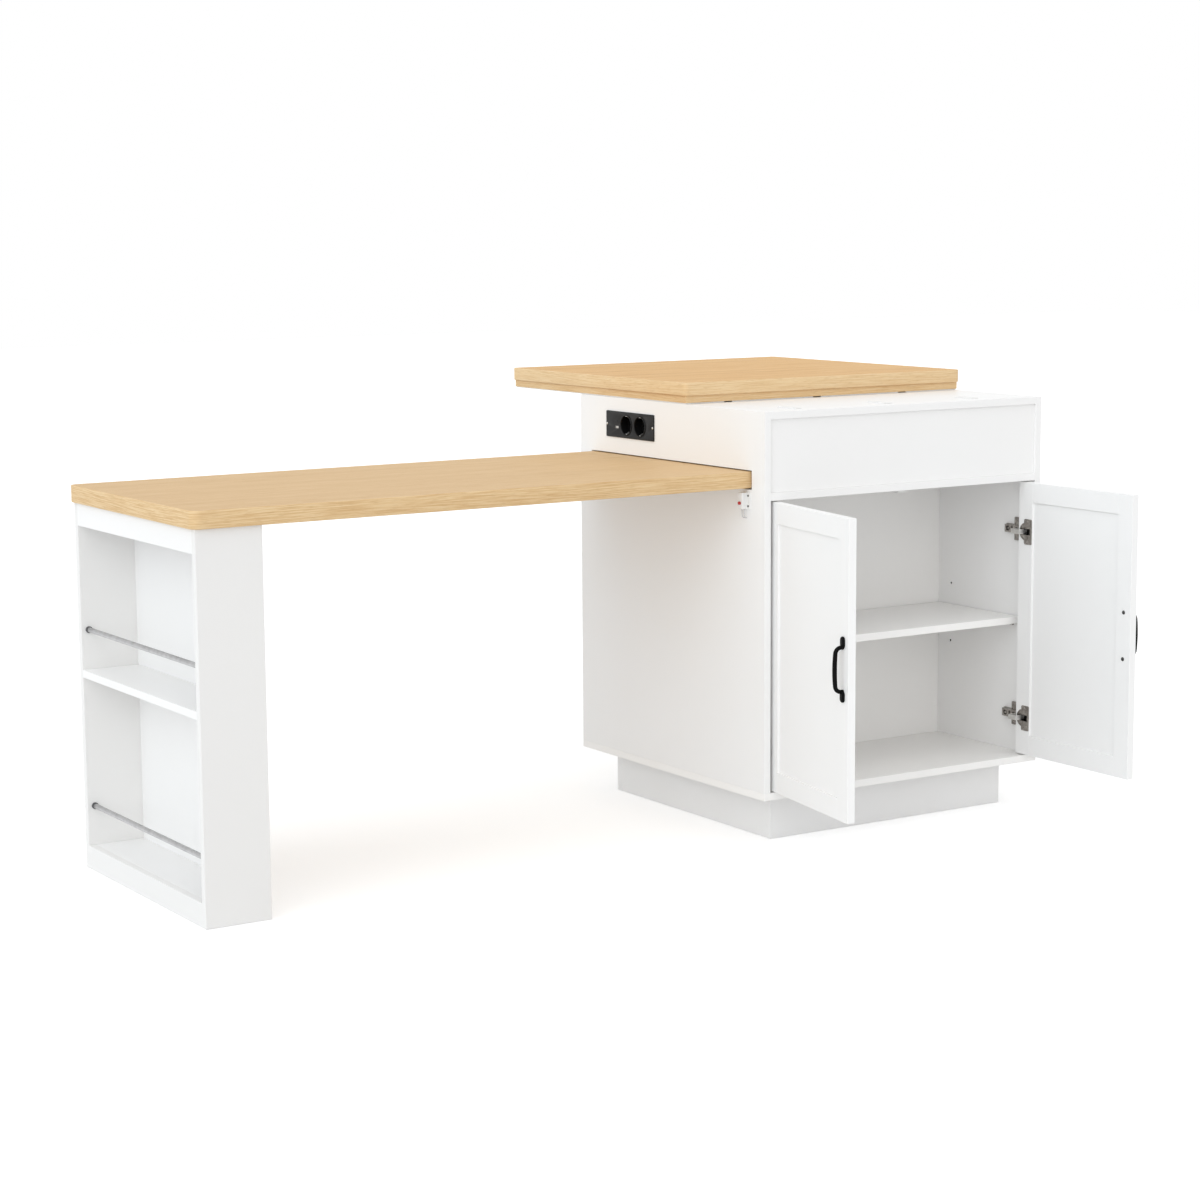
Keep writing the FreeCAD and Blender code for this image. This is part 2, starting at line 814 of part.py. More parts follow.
def worktop_slider(line):
    """Block in the base's groove that grips the rail's head."""
    foot_top = cabinet_top + rail_foot
    stem_top = foot_top + rail_stem
    low = foot_top + glide_gap
    slider_back = rail_back - glide_gap
    slider_front = slider_back - slider_length
    body = block(
        line - slider_width / 2, line + slider_width / 2, slider_front, slider_back, low, groove_top)
    stem_room = block(
        line - rail_stem_width / 2 - glide_gap, line + rail_stem_width / 2 + glide_gap,
        slider_front, slider_back, low, stem_top)
    head_room = block(
        line - rail_head_width / 2 - glide_gap, line + rail_head_width / 2 + glide_gap,
        slider_front, slider_back, stem_top - glide_gap, stem_top + rail_head + glide_gap)
    return body.cut([stem_room, head_room])


save("worktop_rails", *[worktop_rail(line) for line in rail_lines])
save("worktop_sliders", *[worktop_slider(line) for line in rail_lines])

pads = []
for pad_front in (front + pad_margin, base_front + pad_margin, back - pad_margin - pad_length):
    for column in range(3):
        pad_x = left + pad_first + pad_pitch * column
        pads.append(eased_board(
            pad_x - pad_width / 2, pad_x + pad_width / 2, pad_front, pad_front + pad_length,
            cabinet_top, cabinet_top + pad_thickness))
save("glide_pads", *pads)


# Socket unit: housing in the cut-out, cover plate, two round inserts with earth clips, charging port

insert_radius = socket_bore_radius + socket_wall
socket_bottom = socket_face + socket_bore_depth


def around_usb(gap):
    level = socket_z - usb_drop
    middle = socket_y + usb_offset
    return block(
        socket_face, socket_face + usb_depth, middle - usb_width / 2 - gap, middle + usb_width / 2 + gap,
        level - usb_height / 2 - gap, level + usb_height / 2 + gap)


def socket_plate():
    plate = block(
        socket_face, left, socket_y - socket_plate_length / 2, socket_y + socket_plate_length / 2,
        socket_z - socket_plate_height / 2, socket_z + socket_plate_height / 2)
    plate = plate.makeFillet(socket_plate_corner, edges_along(plate, X_AXIS))
    rim = [edge for edge in plate.Edges if edge.BoundBox.XMax < socket_face + TOLERANCE]
    plate = plate.makeFillet(socket_plate_ease, rim)
    cuts = [around_usb(fit_gap)]
    for centre in socket_centres:
        mouth = point(socket_face, centre, socket_z)
        cuts.append(Part.makeCylinder(insert_radius + fit_gap, socket_plate_thickness, mouth, X_AXIS))
    for seat in socket_screw_places():
        cuts.append(screw_hole(seat, X_AXIS, socket_screw_radius, socket_screw_length))
    return plate.cut(cuts)


def socket_housing():
    half_length = housing_length / 2
    half_height = housing_height / 2
    shell = block(
        left, left + housing_depth, socket_y - half_length, socket_y + half_length,
        socket_z - half_height, socket_z + half_height)
    room = block(
        left, left + housing_depth - housing_wall,
        socket_y - half_length + housing_wall, socket_y + half_length - housing_wall,
        socket_z - half_height + housing_wall, socket_z + half_height - housing_wall)
    return shell.cut(room)


def clip_room(centre, side, gap):
    """Space for one earth clip in the insert's wall, above or below the bore."""
    inner = socket_bore_radius + running_gap
    start = socket_bottom - earth_clip_length
    low = socket_z + side * (inner - gap)
    high = socket_z + side * (inner + earth_clip_thickness + gap)
    return block(
        start - gap, socket_bottom + gap, centre - earth_clip_width / 2 - gap,
        centre + earth_clip_width / 2 + gap, min(low, high), max(low, high))


def socket_insert(centre):
    mouth = point(socket_face, centre, socket_z)
    body = Part.makeCylinder(insert_radius, socket_bore_depth + socket_floor, mouth, X_AXIS)
    cuts = [Part.makeCylinder(socket_bore_radius, socket_bore_depth, mouth, X_AXIS)]
    for side in (-1, 1):
        contact = point(socket_bottom, centre + side * contact_pitch / 2, socket_z)
        cuts.append(Part.makeCylinder(contact_radius, socket_floor, contact, X_AXIS))
        cuts.append(clip_room(centre, side, running_gap))
    return body.cut(cuts)


def usb_port():
    """Steel shell, closed behind, with the contact tongue on its rear wall."""
    shell = around_usb(0)
    room = around_usb(-usb_wall).translated(-X_AXIS * usb_wall)
    middle = socket_y + usb_offset
    half = usb_width / 2 - 2 * usb_wall
    level = socket_z - usb_drop
    tongue = block(
        socket_face + usb_tongue_setback, socket_face + usb_depth - usb_wall, middle - half, middle + half,
        level, level + usb_tongue)
    return [shell.cut(room), tongue]


save("socket_plate", socket_plate())
save("socket_housing", socket_housing())
save("socket_inserts", *[socket_insert(centre) for centre in socket_centres])
save("earth_clips", *[clip_room(centre, side, 0) for centre in socket_centres for side in (-1, 1)])
save("usb_port", *usb_port())
save("socket_screws", *[
    screw(seat, X_AXIS, socket_screw_radius, socket_screw_length, socket_screw_head_radius, socket_screw_head)
    for seat in socket_screw_places()])


# Push switch with its button, spring, screws and the two leads into the panel

cavity_start = switch_face + button_lip
cavity_end = left - switch_ear_thickness


def along_button(x):
    return point(x, switch_middle, button_level)


def switch_body():
    case = block(switch_face, left, switch_front, switch_front + switch_width, switch_bottom, switch_top)
    case = case.makeFillet(board_ease, case.Edges)
    ear = block(left - switch_ear_thickness, left, switch_front - switch_ear, switch_front + board_ease * 2,
                switch_bottom, switch_top)
    body = case.fuse(ear).removeSplitter()
    bore = Part.makeCylinder(button_radius + running_gap, button_lip, along_button(switch_face), X_AXIS)
    cavity = Part.makeCylinder(
        button_collar_radius + running_gap, cavity_end - cavity_start, along_button(cavity_start), X_AXIS)
    holes = [screw_hole(seat, X_AXIS, switch_screw_radius, switch_screw_length)
             for seat in switch_screw_places()]
    return body.cut([bore, cavity] + holes)


def switch_button():
    tip = switch_face - button_proud
    collar_start = cavity_start + running_gap
    stem = Part.makeCylinder(button_radius, collar_start - tip, along_button(tip), X_AXIS)
    rim = [edge for edge in stem.Edges if edge.Closed and edge.CenterOfMass.x < switch_face]
    stem = stem.makeFillet(button_radius * button_rim_share, rim)
    collar = Part.makeCylinder(button_collar_radius, button_collar, along_button(collar_start), X_AXIS)
    return stem.fuse(collar).removeSplitter()


def switch_spring():
    """Coil spring between the button's collar and the bottom of its cavity, in half turns."""
    start = cavity_start + running_gap + button_collar + spring_wire_radius + fit_gap
    length = cavity_end - spring_wire_radius - fit_gap - start

    def on_coil(turn):
        angle = 2 * math.pi * turn
        across = point(0, math.cos(angle), math.sin(angle)) * spring_radius
        return along_button(start + length * turn / spring_turns) + across

    half_turns = []
    for step in range(2 * spring_turns):
        places = [on_coil((step + share) / 2) for share in (0, 0.5, 1)]
        half_turns.append(Part.Arc(*places).toShape())
    path = Part.Wire(half_turns)
    heading = half_turns[0].tangentAt(half_turns[0].FirstParameter)
    section = Part.Wire(Part.Circle(on_coil(0), heading, spring_wire_radius).toShape())
    return path.makePipeShell([section], True, False)


def switch_lead(y):
    """Lead from the switch's underside, round into its hole in the panel."""
    x = left - lead_bend
    turn = switch_bottom - lead_drop
    part_way = lead_bend * (1 - math.sqrt(0.5))
    start = point(x, y, switch_bottom)
    path = Part.Wire([
        Part.LineSegment(start, point(x, y, turn)).toShape(),
        Part.Arc(
            point(x, y, turn), point(x + part_way, y, lead_level + part_way),
            point(left, y, lead_level)).toShape(),
        Part.LineSegment(point(left, y, lead_level), point(left + lead_end, y, lead_level)).toShape()])
    section = Part.Wire(Part.Circle(start, Z_AXIS, lead_radius).toShape())
    return path.makePipeShell([section], True, False)


save("switch_body", switch_body())
save("switch_button", switch_button())
save("switch_spring", switch_spring())
save("switch_screws", *[
    screw(seat, X_AXIS, switch_screw_radius, switch_screw_length, switch_screw_head_radius, switch_screw_head)
    for seat in switch_screw_places()])
save("switch_leads", *[switch_lead(line) for line in lead_lines])
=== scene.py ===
import json
import math

import bmesh
import bpy
import numpy as np
from mathutils import Matrix, Vector


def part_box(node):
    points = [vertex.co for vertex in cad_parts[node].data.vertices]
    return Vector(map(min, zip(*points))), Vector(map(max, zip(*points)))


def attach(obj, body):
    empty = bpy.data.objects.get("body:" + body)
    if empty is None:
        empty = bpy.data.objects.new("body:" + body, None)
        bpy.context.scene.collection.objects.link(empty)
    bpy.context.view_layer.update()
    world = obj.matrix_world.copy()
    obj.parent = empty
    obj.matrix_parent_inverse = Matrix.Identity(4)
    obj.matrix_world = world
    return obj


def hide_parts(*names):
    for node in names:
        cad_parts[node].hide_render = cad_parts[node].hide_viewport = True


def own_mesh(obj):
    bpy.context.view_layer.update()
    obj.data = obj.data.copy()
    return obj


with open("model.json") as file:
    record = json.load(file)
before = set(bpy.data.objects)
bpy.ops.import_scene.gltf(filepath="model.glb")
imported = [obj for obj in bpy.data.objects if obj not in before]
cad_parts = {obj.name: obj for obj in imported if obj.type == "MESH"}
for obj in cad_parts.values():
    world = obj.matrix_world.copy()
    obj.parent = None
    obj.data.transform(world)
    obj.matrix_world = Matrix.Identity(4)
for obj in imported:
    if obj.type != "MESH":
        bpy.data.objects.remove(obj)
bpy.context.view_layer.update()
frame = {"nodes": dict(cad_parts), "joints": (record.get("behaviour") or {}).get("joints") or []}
nodes = frame["nodes"]


# Plinth: four boards and a cross rail, set back under the cabinet so that feet fit below the doors.
# White melamine on particle board with glued edge bands, butted at the corners and screwed from inside.

BOARD_WHITE = (0.895, 0.891, 0.886, 1)
BOARD_WARM = (0.884, 0.878, 0.869, 1)
BOARD_GLOSS = 0.40
BOARD_PEEL = 900.0
BOARD_PEEL_DEPTH = 0.00004
COATING_SPECULAR = 0.35
CLOUD_SCALE = 2.6
CLOUD_FROM = 0.35
CLOUD_TO = 0.7
SHEEN_SCALE = 34.0
SHEEN_SPREAD = 0.05


def add(tree, kind, inputs=(), **settings):
    """A node of that kind; inputs gives each socket a value or another node's output."""
    made = tree.nodes.new(kind)
    for setting, value in settings.items():
        setattr(made, setting, value)
    for socket, value in dict(inputs).items():
        if isinstance(value, bpy.types.NodeSocket):
            tree.links.new(value, made.inputs[socket])
        else:
            made.inputs[socket].default_value = value
    return made


def new_finish(name, **surface):
    """Material with its node tree and its shader, whose sockets take the plain values given."""
    finish = bpy.data.materials.new(name)
    finish.use_nodes = True
    shader = finish.node_tree.nodes["Principled BSDF"]
    for socket, value in surface.items():
        shader.inputs[socket.replace("_", " ")].default_value = value
    return finish, finish.node_tree, shader


def object_place(tree):
    return add(tree, "ShaderNodeTexCoord").outputs["Object"]


def stretched(tree, place, scale):
    """The same place with its pattern squeezed along each axis."""
    return add(tree, "ShaderNodeMapping", {"Vector": place, "Scale": scale}).outputs[0]


def noise(tree, place, scale, detail=3.0, roughness=0.5):
    settings = {"Vector": place, "Scale": scale, "Detail": detail, "Roughness": roughness}
    return add(tree, "ShaderNodeTexNoise", settings).outputs["Fac"]


def ranged(tree, value, low, high, start=0.0, end=1.0):
    """A value that runs from start to end, spread over low to high."""
    limits = {"Value": value, "From Min": start, "From Max": end, "To Min": low, "To Max": high}
    return add(tree, "ShaderNodeMapRange", limits).outputs["Result"]


def blended(tree, share, first, second):
    """Colour between two others."""
    return add(tree, "ShaderNodeMix", {0: share, 6: first, 7: second}, data_type="RGBA").outputs[2]


def roughen(tree, shader, height, depth):
    """Relief of that depth, in metres, on the shader's surface."""
    relief = add(tree, "ShaderNodeBump", {"Height": height, "Distance": depth, "Strength": 1.0})
    tree.links.new(relief.outputs["Normal"], shader.inputs["Normal"])


def white_coating(name, first, second, gloss, peel_scale, peel_depth):
    """White film or lacquer: faint clouds of tone, patches of sheen and a fine peel."""
    finish, tree, shader = new_finish(name, Specular_IOR_Level=COATING_SPECULAR)
    place = object_place(tree)
    clouds = noise(tree, place, CLOUD_SCALE, detail=4.0)
    tone = blended(tree, ranged(tree, clouds, 0, 1, CLOUD_FROM, CLOUD_TO), first, second)
    tree.links.new(tone, shader.inputs["Base Color"])
    patches = noise(tree, place, SHEEN_SCALE)
    sheen = ranged(tree, patches, gloss - SHEEN_SPREAD, gloss + SHEEN_SPREAD)
    tree.links.new(sheen, shader.inputs["Roughness"])
    roughen(tree, shader, noise(tree, place, peel_scale, detail=2.0), peel_depth)
    return finish


def melamine(name, white, warm):
    """Film of a board, in one white or another."""
    return white_coating(name, white, warm, BOARD_GLOSS, BOARD_PEEL, BOARD_PEEL_DEPTH)


def dress(finish, *names):
    """Give CAD nodes their finish."""
    for name in names:
        mesh = nodes[name].data
        mesh.materials.clear()
        mesh.materials.append(finish)


white_melamine = melamine("white_melamine", BOARD_WHITE, BOARD_WARM)
dress(white_melamine, "plinth_front", "plinth_back", "plinth_sides", "plinth_cross_rail")


# Carcass: bottom, sides, top, divider, fascia and two backs, joined by cams and dowels hidden in the joints.
# The same melamine board, painted lighter inside the cupboard as painted light; the sides are drilled, with
# the walls of their holes painted near-black as painted shade, and the left one has the table's slot and the
# socket's cut-out routed in it.

# Near-black core colour for the holes' walls: painted shade.
HOLE_SHADE_BROWN = (0.050, 0.036, 0.023, 1)
HOLE_SHADE_DARK = (0.018, 0.013, 0.008, 1)
# Lighter white inside the cupboard: painted light.
LIT_INSIDE_WHITE = (0.935, 0.925, 0.908, 1)
LIT_INSIDE_WARM = (0.928, 0.916, 0.896, 1)
FILM_THICKNESS = 0.0008
DRILLED_FROM = 0.15
DRILLED_TO = 0.66
CHIP_SCALE = 900.0


def between(tree, value, low, high):
    """One where a value lies between two limits, nought elsewhere."""
    limits = {0: value, 1: (low + high) / 2, 2: (high - low) / 2}
    return add(tree, "ShaderNodeMath", limits, operation="COMPARE").outputs[0]


def drilled_board():
    """White board whose drilled holes show a near-black core colour, as painted shade in the holes."""
    finish = melamine("drilled_melamine", BOARD_WHITE, BOARD_WARM)
    tree = finish.node_tree
    shader = tree.nodes["Principled BSDF"]
    place = object_place(tree)
    axes = add(tree, "ShaderNodeSeparateXYZ", {0: place}).outputs
    low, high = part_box("side_panel_right")
    across = add(tree, "ShaderNodeMath", {0: axes["X"]}, operation="ABSOLUTE").outputs[0]
    inside = between(tree, across, low.x + FILM_THICKNESS, high.x - FILM_THICKNESS)
    deep = between(tree, axes["Y"], low.y + FILM_THICKNESS, high.y - FILM_THICKNESS)
    drilled = between(tree, axes["Z"], DRILLED_FROM, DRILLED_TO)
    for limit in (deep, drilled):
        inside = add(tree, "ShaderNodeMath", {0: inside, 1: limit}, operation="MULTIPLY").outputs[0]
    # Near-black walls in the holes: painted shade.
    hole_shade = blended(tree, noise(tree, place, CHIP_SCALE), HOLE_SHADE_BROWN, HOLE_SHADE_DARK)
    film = shader.inputs["Base Color"].links[0].from_socket
    tree.links.new(blended(tree, inside, film, hole_shade), shader.inputs["Base Color"])
    return finish


# A lighter white for the cupboard's back, bottom and shelf: painted light.
lit_inside_melamine = melamine("lit_inside_melamine", LIT_INSIDE_WHITE, LIT_INSIDE_WARM)
dress(white_melamine, "top_panel", "divider_panel", "fascia_panel", "back_panel")
dress(lit_inside_melamine, "bottom_panel", "cupboard_back")
dress(drilled_board(), "side_panel_left", "side_panel_right")


# Socket unit: a cover plate, two round inserts with spring earth clips, a charging port and the box behind.
# Moulded black plastic with a fine spark-eroded grain; two small cross-head screws hold the plate at its
# ends, and a dark lens over the port covers its indicator.

BLACK_PLASTIC = (0.011, 0.011, 0.0115, 1)
BLACK_PLASTIC_WORN = (0.016, 0.016, 0.0165, 1)
INSERT_BLACK = (0.004, 0.004, 0.0042, 1)
INSERT_BLACK_WORN = (0.007, 0.007, 0.0072, 1)
NICKEL = (0.42, 0.395, 0.37, 1)
NICKEL_SHADE = (0.25, 0.23, 0.212, 1)
BRIGHT_TIN = (0.80, 0.79, 0.77, 1)
BRIGHT_TIN_SHADE = (0.66, 0.65, 0.63, 1)
TONGUE_WHITE = (0.85, 0.85, 0.84, 1)
TONGUE_SHADE = (0.78, 0.78, 0.77, 1)
BORE_RADIUS = 0.0195
BORE_DEPTH = 0.0175
CLIP_WIDTH = 0.005
CLIP_THICKNESS = 0.0008
CLIP_BULGE = 0.0042
CLIP_SETBACK = 0.0004
CLIP_STEPS = 12
PORT_WALL = 0.0005
PORT_CORNER = 0.0009
TONGUE_GAP = 0.0006
TONGUE_SETBACK = 0.0010
TONGUE_THICKNESS = 0.0030
LENS_RADIUS = 0.0024
LENS_RISE = 0.0125
LENS_HEIGHT = 0.0005
LENS_SECTION = ((1.0, 0.0), (0.92, 0.5), (0.62, 0.86), (0.2, 1.0))
PLATE_EDGE = 0.0009
LIP_HEIGHT = 0.0011
LIP_SECTION = (
    (1.0, -0.6), (1.0, 0.35), (0.86, 0.8), (0.6, 1.0), (0.35, 0.95), (0.12, 0.6), (0.0, 0.1), (0.0, -0.6))
HEAD_SEGMENTS = 24
HEAD_RINGS = 12
RECESS_LENGTH = 1.1
RECESS_WIDTH = 0.26
RECESS_DEPTH = 1.1
SHANK_SIDES = 16
TIP_SHARE = 0.2
SCREW_SEED = 7
RIM_SHARE = 0.95
HARD_EDGE = 40
BEVELLED_EDGE = 50
FLAT_ENOUGH = 1
CORNER_STEPS = 10
RING_STEPS = 36
MERGE_REACH = 1e-6
FLOW_SCALE = 45.0
FLOW_FROM = 0.4
FLOW_TO = 0.75
FLOW_GLOSS = 0.06
STAIN_SCALE = 70.0
POLISHED = 0.08
DULLED = 0.12


def moulded(name, first, second, gloss, grain_scale, grain_depth, specular=0.3):
    """Plastic with a tool-textured skin: a fine grain, and slight flow marks in tone and gloss."""
    finish, tree, shader = new_finish(name, Specular_IOR_Level=specular)
    place = object_place(tree)
    flow = noise(tree, place, FLOW_SCALE, detail=4.0)
    tone = blended(tree, ranged(tree, flow, 0, 1, FLOW_FROM, FLOW_TO), first, second)
    tree.links.new(tone, shader.inputs["Base Color"])
    sheen = ranged(tree, flow, gloss + FLOW_GLOSS, gloss - FLOW_GLOSS)
    tree.links.new(sheen, shader.inputs["Roughness"])
    roughen(tree, shader, noise(tree, place, grain_scale, detail=1.0), grain_depth)
    return finish


def bare_metal(name, first, second, gloss, stretch, mark_depth):
    """Metal with marks drawn out along one axis by rolling, brushing or pressing."""
    finish, tree, shader = new_finish(name, Metallic=1.0)
    place = object_place(tree)
    marks = noise(tree, stretched(tree, place, stretch), 1.0, detail=5.0, roughness=0.65)
    stains = noise(tree, place, STAIN_SCALE)
    tone = blended(tree, ranged(tree, stains, 0, 1, CLOUD_FROM, CLOUD_TO), first, second)
    tree.links.new(tone, shader.inputs["Base Color"])
    sheen = ranged(tree, marks, gloss - POLISHED, gloss + DULLED)
    tree.links.new(sheen, shader.inputs["Roughness"])
    roughen(tree, shader, marks, mark_depth)
    return finish


def new_piece(name, mesh, finish, slot, body, *stands_for):
    """Finished object of a mesh that is already in place, riding on a body and standing for CAD nodes."""
    piece = bpy.data.objects.new(name, mesh)
    bpy.context.scene.collection.objects.link(piece)
    if finish is not None:
        mesh.materials.clear()
        mesh.materials.append(finish)
    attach(piece, body)
    if stands_for:
        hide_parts(*stands_for)
    return piece


def baked(mesh, kind, node_inputs=(), **settings):
    """Plain mesh with a modifier applied; node_inputs are a node tree's inputs by name."""
    carrier = bpy.data.objects.new(mesh.name, mesh)
    bpy.context.scene.collection.objects.link(carrier)
    modifier = carrier.modifiers.new("shaping", kind)
    for setting, value in settings.items():
        setattr(modifier, setting, value)
    if kind == "NODES":
        sockets = {item.name: item.identifier for item in modifier.node_group.interface.items_tree}
        for name, value in dict(node_inputs).items():
            modifier[sockets[name]] = value
    graph = bpy.context.evaluated_depsgraph_get()
    result = bpy.data.meshes.new_from_object(carrier.evaluated_get(graph))
    result.name = mesh.name
    bpy.data.objects.remove(carrier)
    return result


def rounded_over(mesh):
    """The same mesh, shaded smooth but for its hard edges."""
    mesh.shade_smooth()
    mesh.set_sharp_from_angle(angle=math.radians(HARD_EDGE))
    return mesh


def lofted(name, rings, closed=False, chart=None):
    """Skin through rings of points: closed joins the last ring to the first, or else both ends are capped.

    Its map, in metres, lies along the plan, or takes chart(level, spot) where one is given.
    """
    shape = bmesh.new()
    grain = shape.loops.layers.uv.new("grain")
    made = [[shape.verts.new(spot) for spot in ring] for ring in rings]
    for level in range(len(made) if closed else len(made) - 1):
        lower = made[level]
        upper = made[(level + 1) % len(made)]
        for spot in range(len(lower)):
            face = shape.faces.new((lower[spot - 1], lower[spot], upper[spot], upper[spot - 1]))
            corners = ((level, spot), (level, spot + 1), (level + 1, spot + 1), (level + 1, spot))
            for loop, corner in zip(face.loops, corners):
                loop[grain].uv = chart(*corner) if chart else loop.vert.co.xy
    if not closed:
        for ring in (made[0], made[-1]):
            for loop in shape.faces.new(ring).loops:
                loop[grain].uv = loop.vert.co.xy
    bmesh.ops.recalc_face_normals(shape, faces=shape.faces)
    mesh = bpy.data.meshes.new(name)
    shape.to_mesh(mesh)
    shape.free()
    return mesh


def rounded_outline(low, high, radii, inset=0.0):
    """Points round a rectangle, anticlockwise, drawn in by inset; radii are for its four corners."""
    corners = [
        (low[0], low[1], 1, 1, 180), (high[0], low[1], -1, 1, 270),
        (high[0], high[1], -1, -1, 0), (low[0], high[1], 1, -1, 90)]
    points = []
    for (first, second, inward, upward, start), radius in zip(corners, radii):
        if radius <= inset:
            points.append((first + inward * inset, second + upward * inset))
            continue
        for step in range(CORNER_STEPS + 1):
            angle = math.radians(start + 90 * step / CORNER_STEPS)
            reach = radius - inset
            points.append((
                first + inward * radius + reach * math.cos(angle),
                second + upward * radius + reach * math.sin(angle)))
    return points


def circle(radius):
    turns = [2 * math.pi * step / RING_STEPS for step in range(RING_STEPS)]
    return [(radius * math.cos(turn), radius * math.sin(turn)) for turn in turns]


def joined(name, meshes):
    """One mesh of several."""
    shape = bmesh.new()
    for mesh in meshes:
        shape.from_mesh(mesh)
    whole = bpy.data.meshes.new(name)
    shape.to_mesh(whole)
    shape.free()
    return whole


def merged(name, node, flatness=0):
    """Copy of a CAD node with its split corners merged; faces less than flatness degrees apart become one."""
    shape = bmesh.new()
    shape.from_mesh(nodes[node].data)
    bmesh.ops.remove_doubles(shape, verts=shape.verts, dist=MERGE_REACH)
    if flatness:
        limit = math.radians(flatness)
        bmesh.ops.dissolve_limit(shape, angle_limit=limit, verts=shape.verts, edges=shape.edges)
    mesh = bpy.data.meshes.new(name)
    shape.to_mesh(mesh)
    shape.free()
    return mesh


def softened(name, node, width):
    """Copy of a CAD node with its hard edges rounded over."""
    soft = baked(
        merged(name, node, FLAT_ENOUGH), "BEVEL", width=width, segments=2, limit_method="ANGLE",
        angle_limit=math.radians(BEVELLED_EDGE))
    return rounded_over(soft)


def screw_tree():
    """Node tree that drives a cross-head screw into every seat, along the seat's own axis."""
    tree = bpy.data.node_groups.new("cross_head_screws", "GeometryNodeTree")
    tree.interface.new_socket("Seats", in_out="INPUT", socket_type="NodeSocketGeometry")
    for size in ("Head Radius", "Head Height", "Shank Radius", "Shank Length"):
        tree.interface.new_socket(size, in_out="INPUT", socket_type="NodeSocketFloat")
    tree.interface.new_socket("Finish", in_out="INPUT", socket_type="NodeSocketMaterial")
    tree.interface.new_socket("Screws", in_out="OUTPUT", socket_type="NodeSocketGeometry")
    given = add(tree, "NodeGroupInput").outputs

    def times(value, factor):
        return add(tree, "ShaderNodeMath", {0: value, 1: factor}, operation="MULTIPLY").outputs[0]

    def sized(x, y, z):
        return add(tree, "ShaderNodeCombineXYZ", {"X": x, "Y": y, "Z": z}).outputs[0]

    def moved(geometry, **changes):
        return add(tree, "GeometryNodeTransform", {"Geometry": geometry, **changes}).outputs[0]

    dome_sizes = {"Segments": HEAD_SEGMENTS, "Rings": HEAD_RINGS, "Radius": 1.0}
    dome = add(tree, "GeometryNodeMeshUVSphere", dome_sizes).outputs[0]
    head_radius = given["Head Radius"]
    head_height = given["Head Height"]
    head = moved(dome, Scale=sized(head_radius, head_radius, head_height))
    depth = times(head_height, RECESS_DEPTH)
    screw = add(tree, "GeometryNodeJoinGeometry")
    cut = add(tree, "GeometryNodeMeshBoolean", {"Mesh 1": head}, operation="DIFFERENCE", solver="EXACT")
    for across, along in ((RECESS_LENGTH, RECESS_WIDTH), (RECESS_WIDTH, RECESS_LENGTH)):
        slit_size = sized(times(head_radius, across), times(head_radius, along), depth)
        slit = add(tree, "GeometryNodeMeshCube", {"Size": slit_size}).outputs[0]
        tree.links.new(moved(slit, Translation=sized(0, 0, head_height)), cut.inputs["Mesh 2"])
    length = given["Shank Length"]
    radius = given["Shank Radius"]
    straight = 1 - TIP_SHARE
    shank_sizes = {"Vertices": SHANK_SIDES, "Radius": radius, "Depth": times(length, straight)}
    shank = add(tree, "GeometryNodeMeshCylinder", shank_sizes).outputs[0]
    tip_sizes = {"Vertices": SHANK_SIDES, "Radius Bottom": radius, "Depth": times(length, TIP_SHARE)}
    tip = add(tree, "GeometryNodeMeshCone", tip_sizes).outputs[0]
    for part in (
            cut.outputs[0], moved(shank, Translation=sized(0, 0, times(length, -straight / 2))),
            moved(tip, Translation=sized(0, 0, times(length, -straight)), Rotation=(math.pi, 0, 0))):
        tree.links.new(part, screw.inputs[0])
    axis = add(
        tree, "GeometryNodeInputNamedAttribute", {"Name": "axis"}, data_type="FLOAT_VECTOR").outputs[0]
    facing = add(tree, "FunctionNodeAlignRotationToVector", {"Vector": axis}, axis="Z").outputs[0]
    quarter = {2: 0.0, 3: math.pi / 2, "Seed": SCREW_SEED}
    turn = add(tree, "FunctionNodeRandomValue", quarter, data_type="FLOAT").outputs[1]
    spin = add(tree, "FunctionNodeEulerToRotation", {0: sized(0, 0, turn)}).outputs[0]
    turned = add(tree, "FunctionNodeRotateRotation", {0: facing, 1: spin}, rotation_space="LOCAL").outputs[0]
    driven = add(tree, "GeometryNodeInstanceOnPoints", {
        "Points": given["Seats"], "Instance": screw.outputs[0], "Rotation": turned}).outputs[0]
    solid = add(tree, "GeometryNodeRealizeInstances", {0: driven}).outputs[0]
    finished = add(tree, "GeometryNodeSetMaterial", {"Geometry": solid, "Material": given["Finish"]})
    add(tree, "NodeGroupOutput", {"Screws": finished.outputs[0]})
    return tree


def solids_of(node):
    """Corner points of each separate solid in a CAD node, in the same order on every run."""
    shape = bmesh.new()
    shape.from_mesh(nodes[node].data)
    bmesh.ops.remove_doubles(shape, verts=shape.verts, dist=MERGE_REACH)
    waiting = dict.fromkeys(shape.verts)
    solids = []
    while waiting:
        reached = [waiting.popitem()[0]]
        for vert in reached:
            for edge in vert.link_edges:
                other = edge.other_vert(vert)
                if other in waiting:
                    del waiting[other]
                    reached.append(other)
        solids.append(np.array([vert.co for vert in reached]))
    shape.free()
    return solids


def screw_seat(points):
    """Seat, axis out of the head and sizes of one CAD screw."""
    centre = points.mean(axis=0)
    directions = np.linalg.svd(points - centre, full_matrices=False)[2]
    axis = max(directions, key=lambda way: np.ptp((points - centre) @ way))
    along = (points - centre) @ axis
    reach = np.linalg.norm(points - centre - np.outer(along, axis), axis=1)
    middle = (along.max() + along.min()) / 2
    if reach[along < middle].max() > reach[along > middle].max():
        axis = -axis
        along = -along
        middle = -middle
    seat = along[reach > RIM_SHARE * reach.max()].min()
    sizes = {
        "Head Radius": reach.max(), "Head Height": along.max() - seat,
        "Shank Radius": reach[along < middle].max(), "Shank Length": seat - along.min()}
    return centre + axis * seat, axis, {name: float(size) for name, size in sizes.items()}


def screw_seats(node):
    return [screw_seat(points) for points in solids_of(node)]


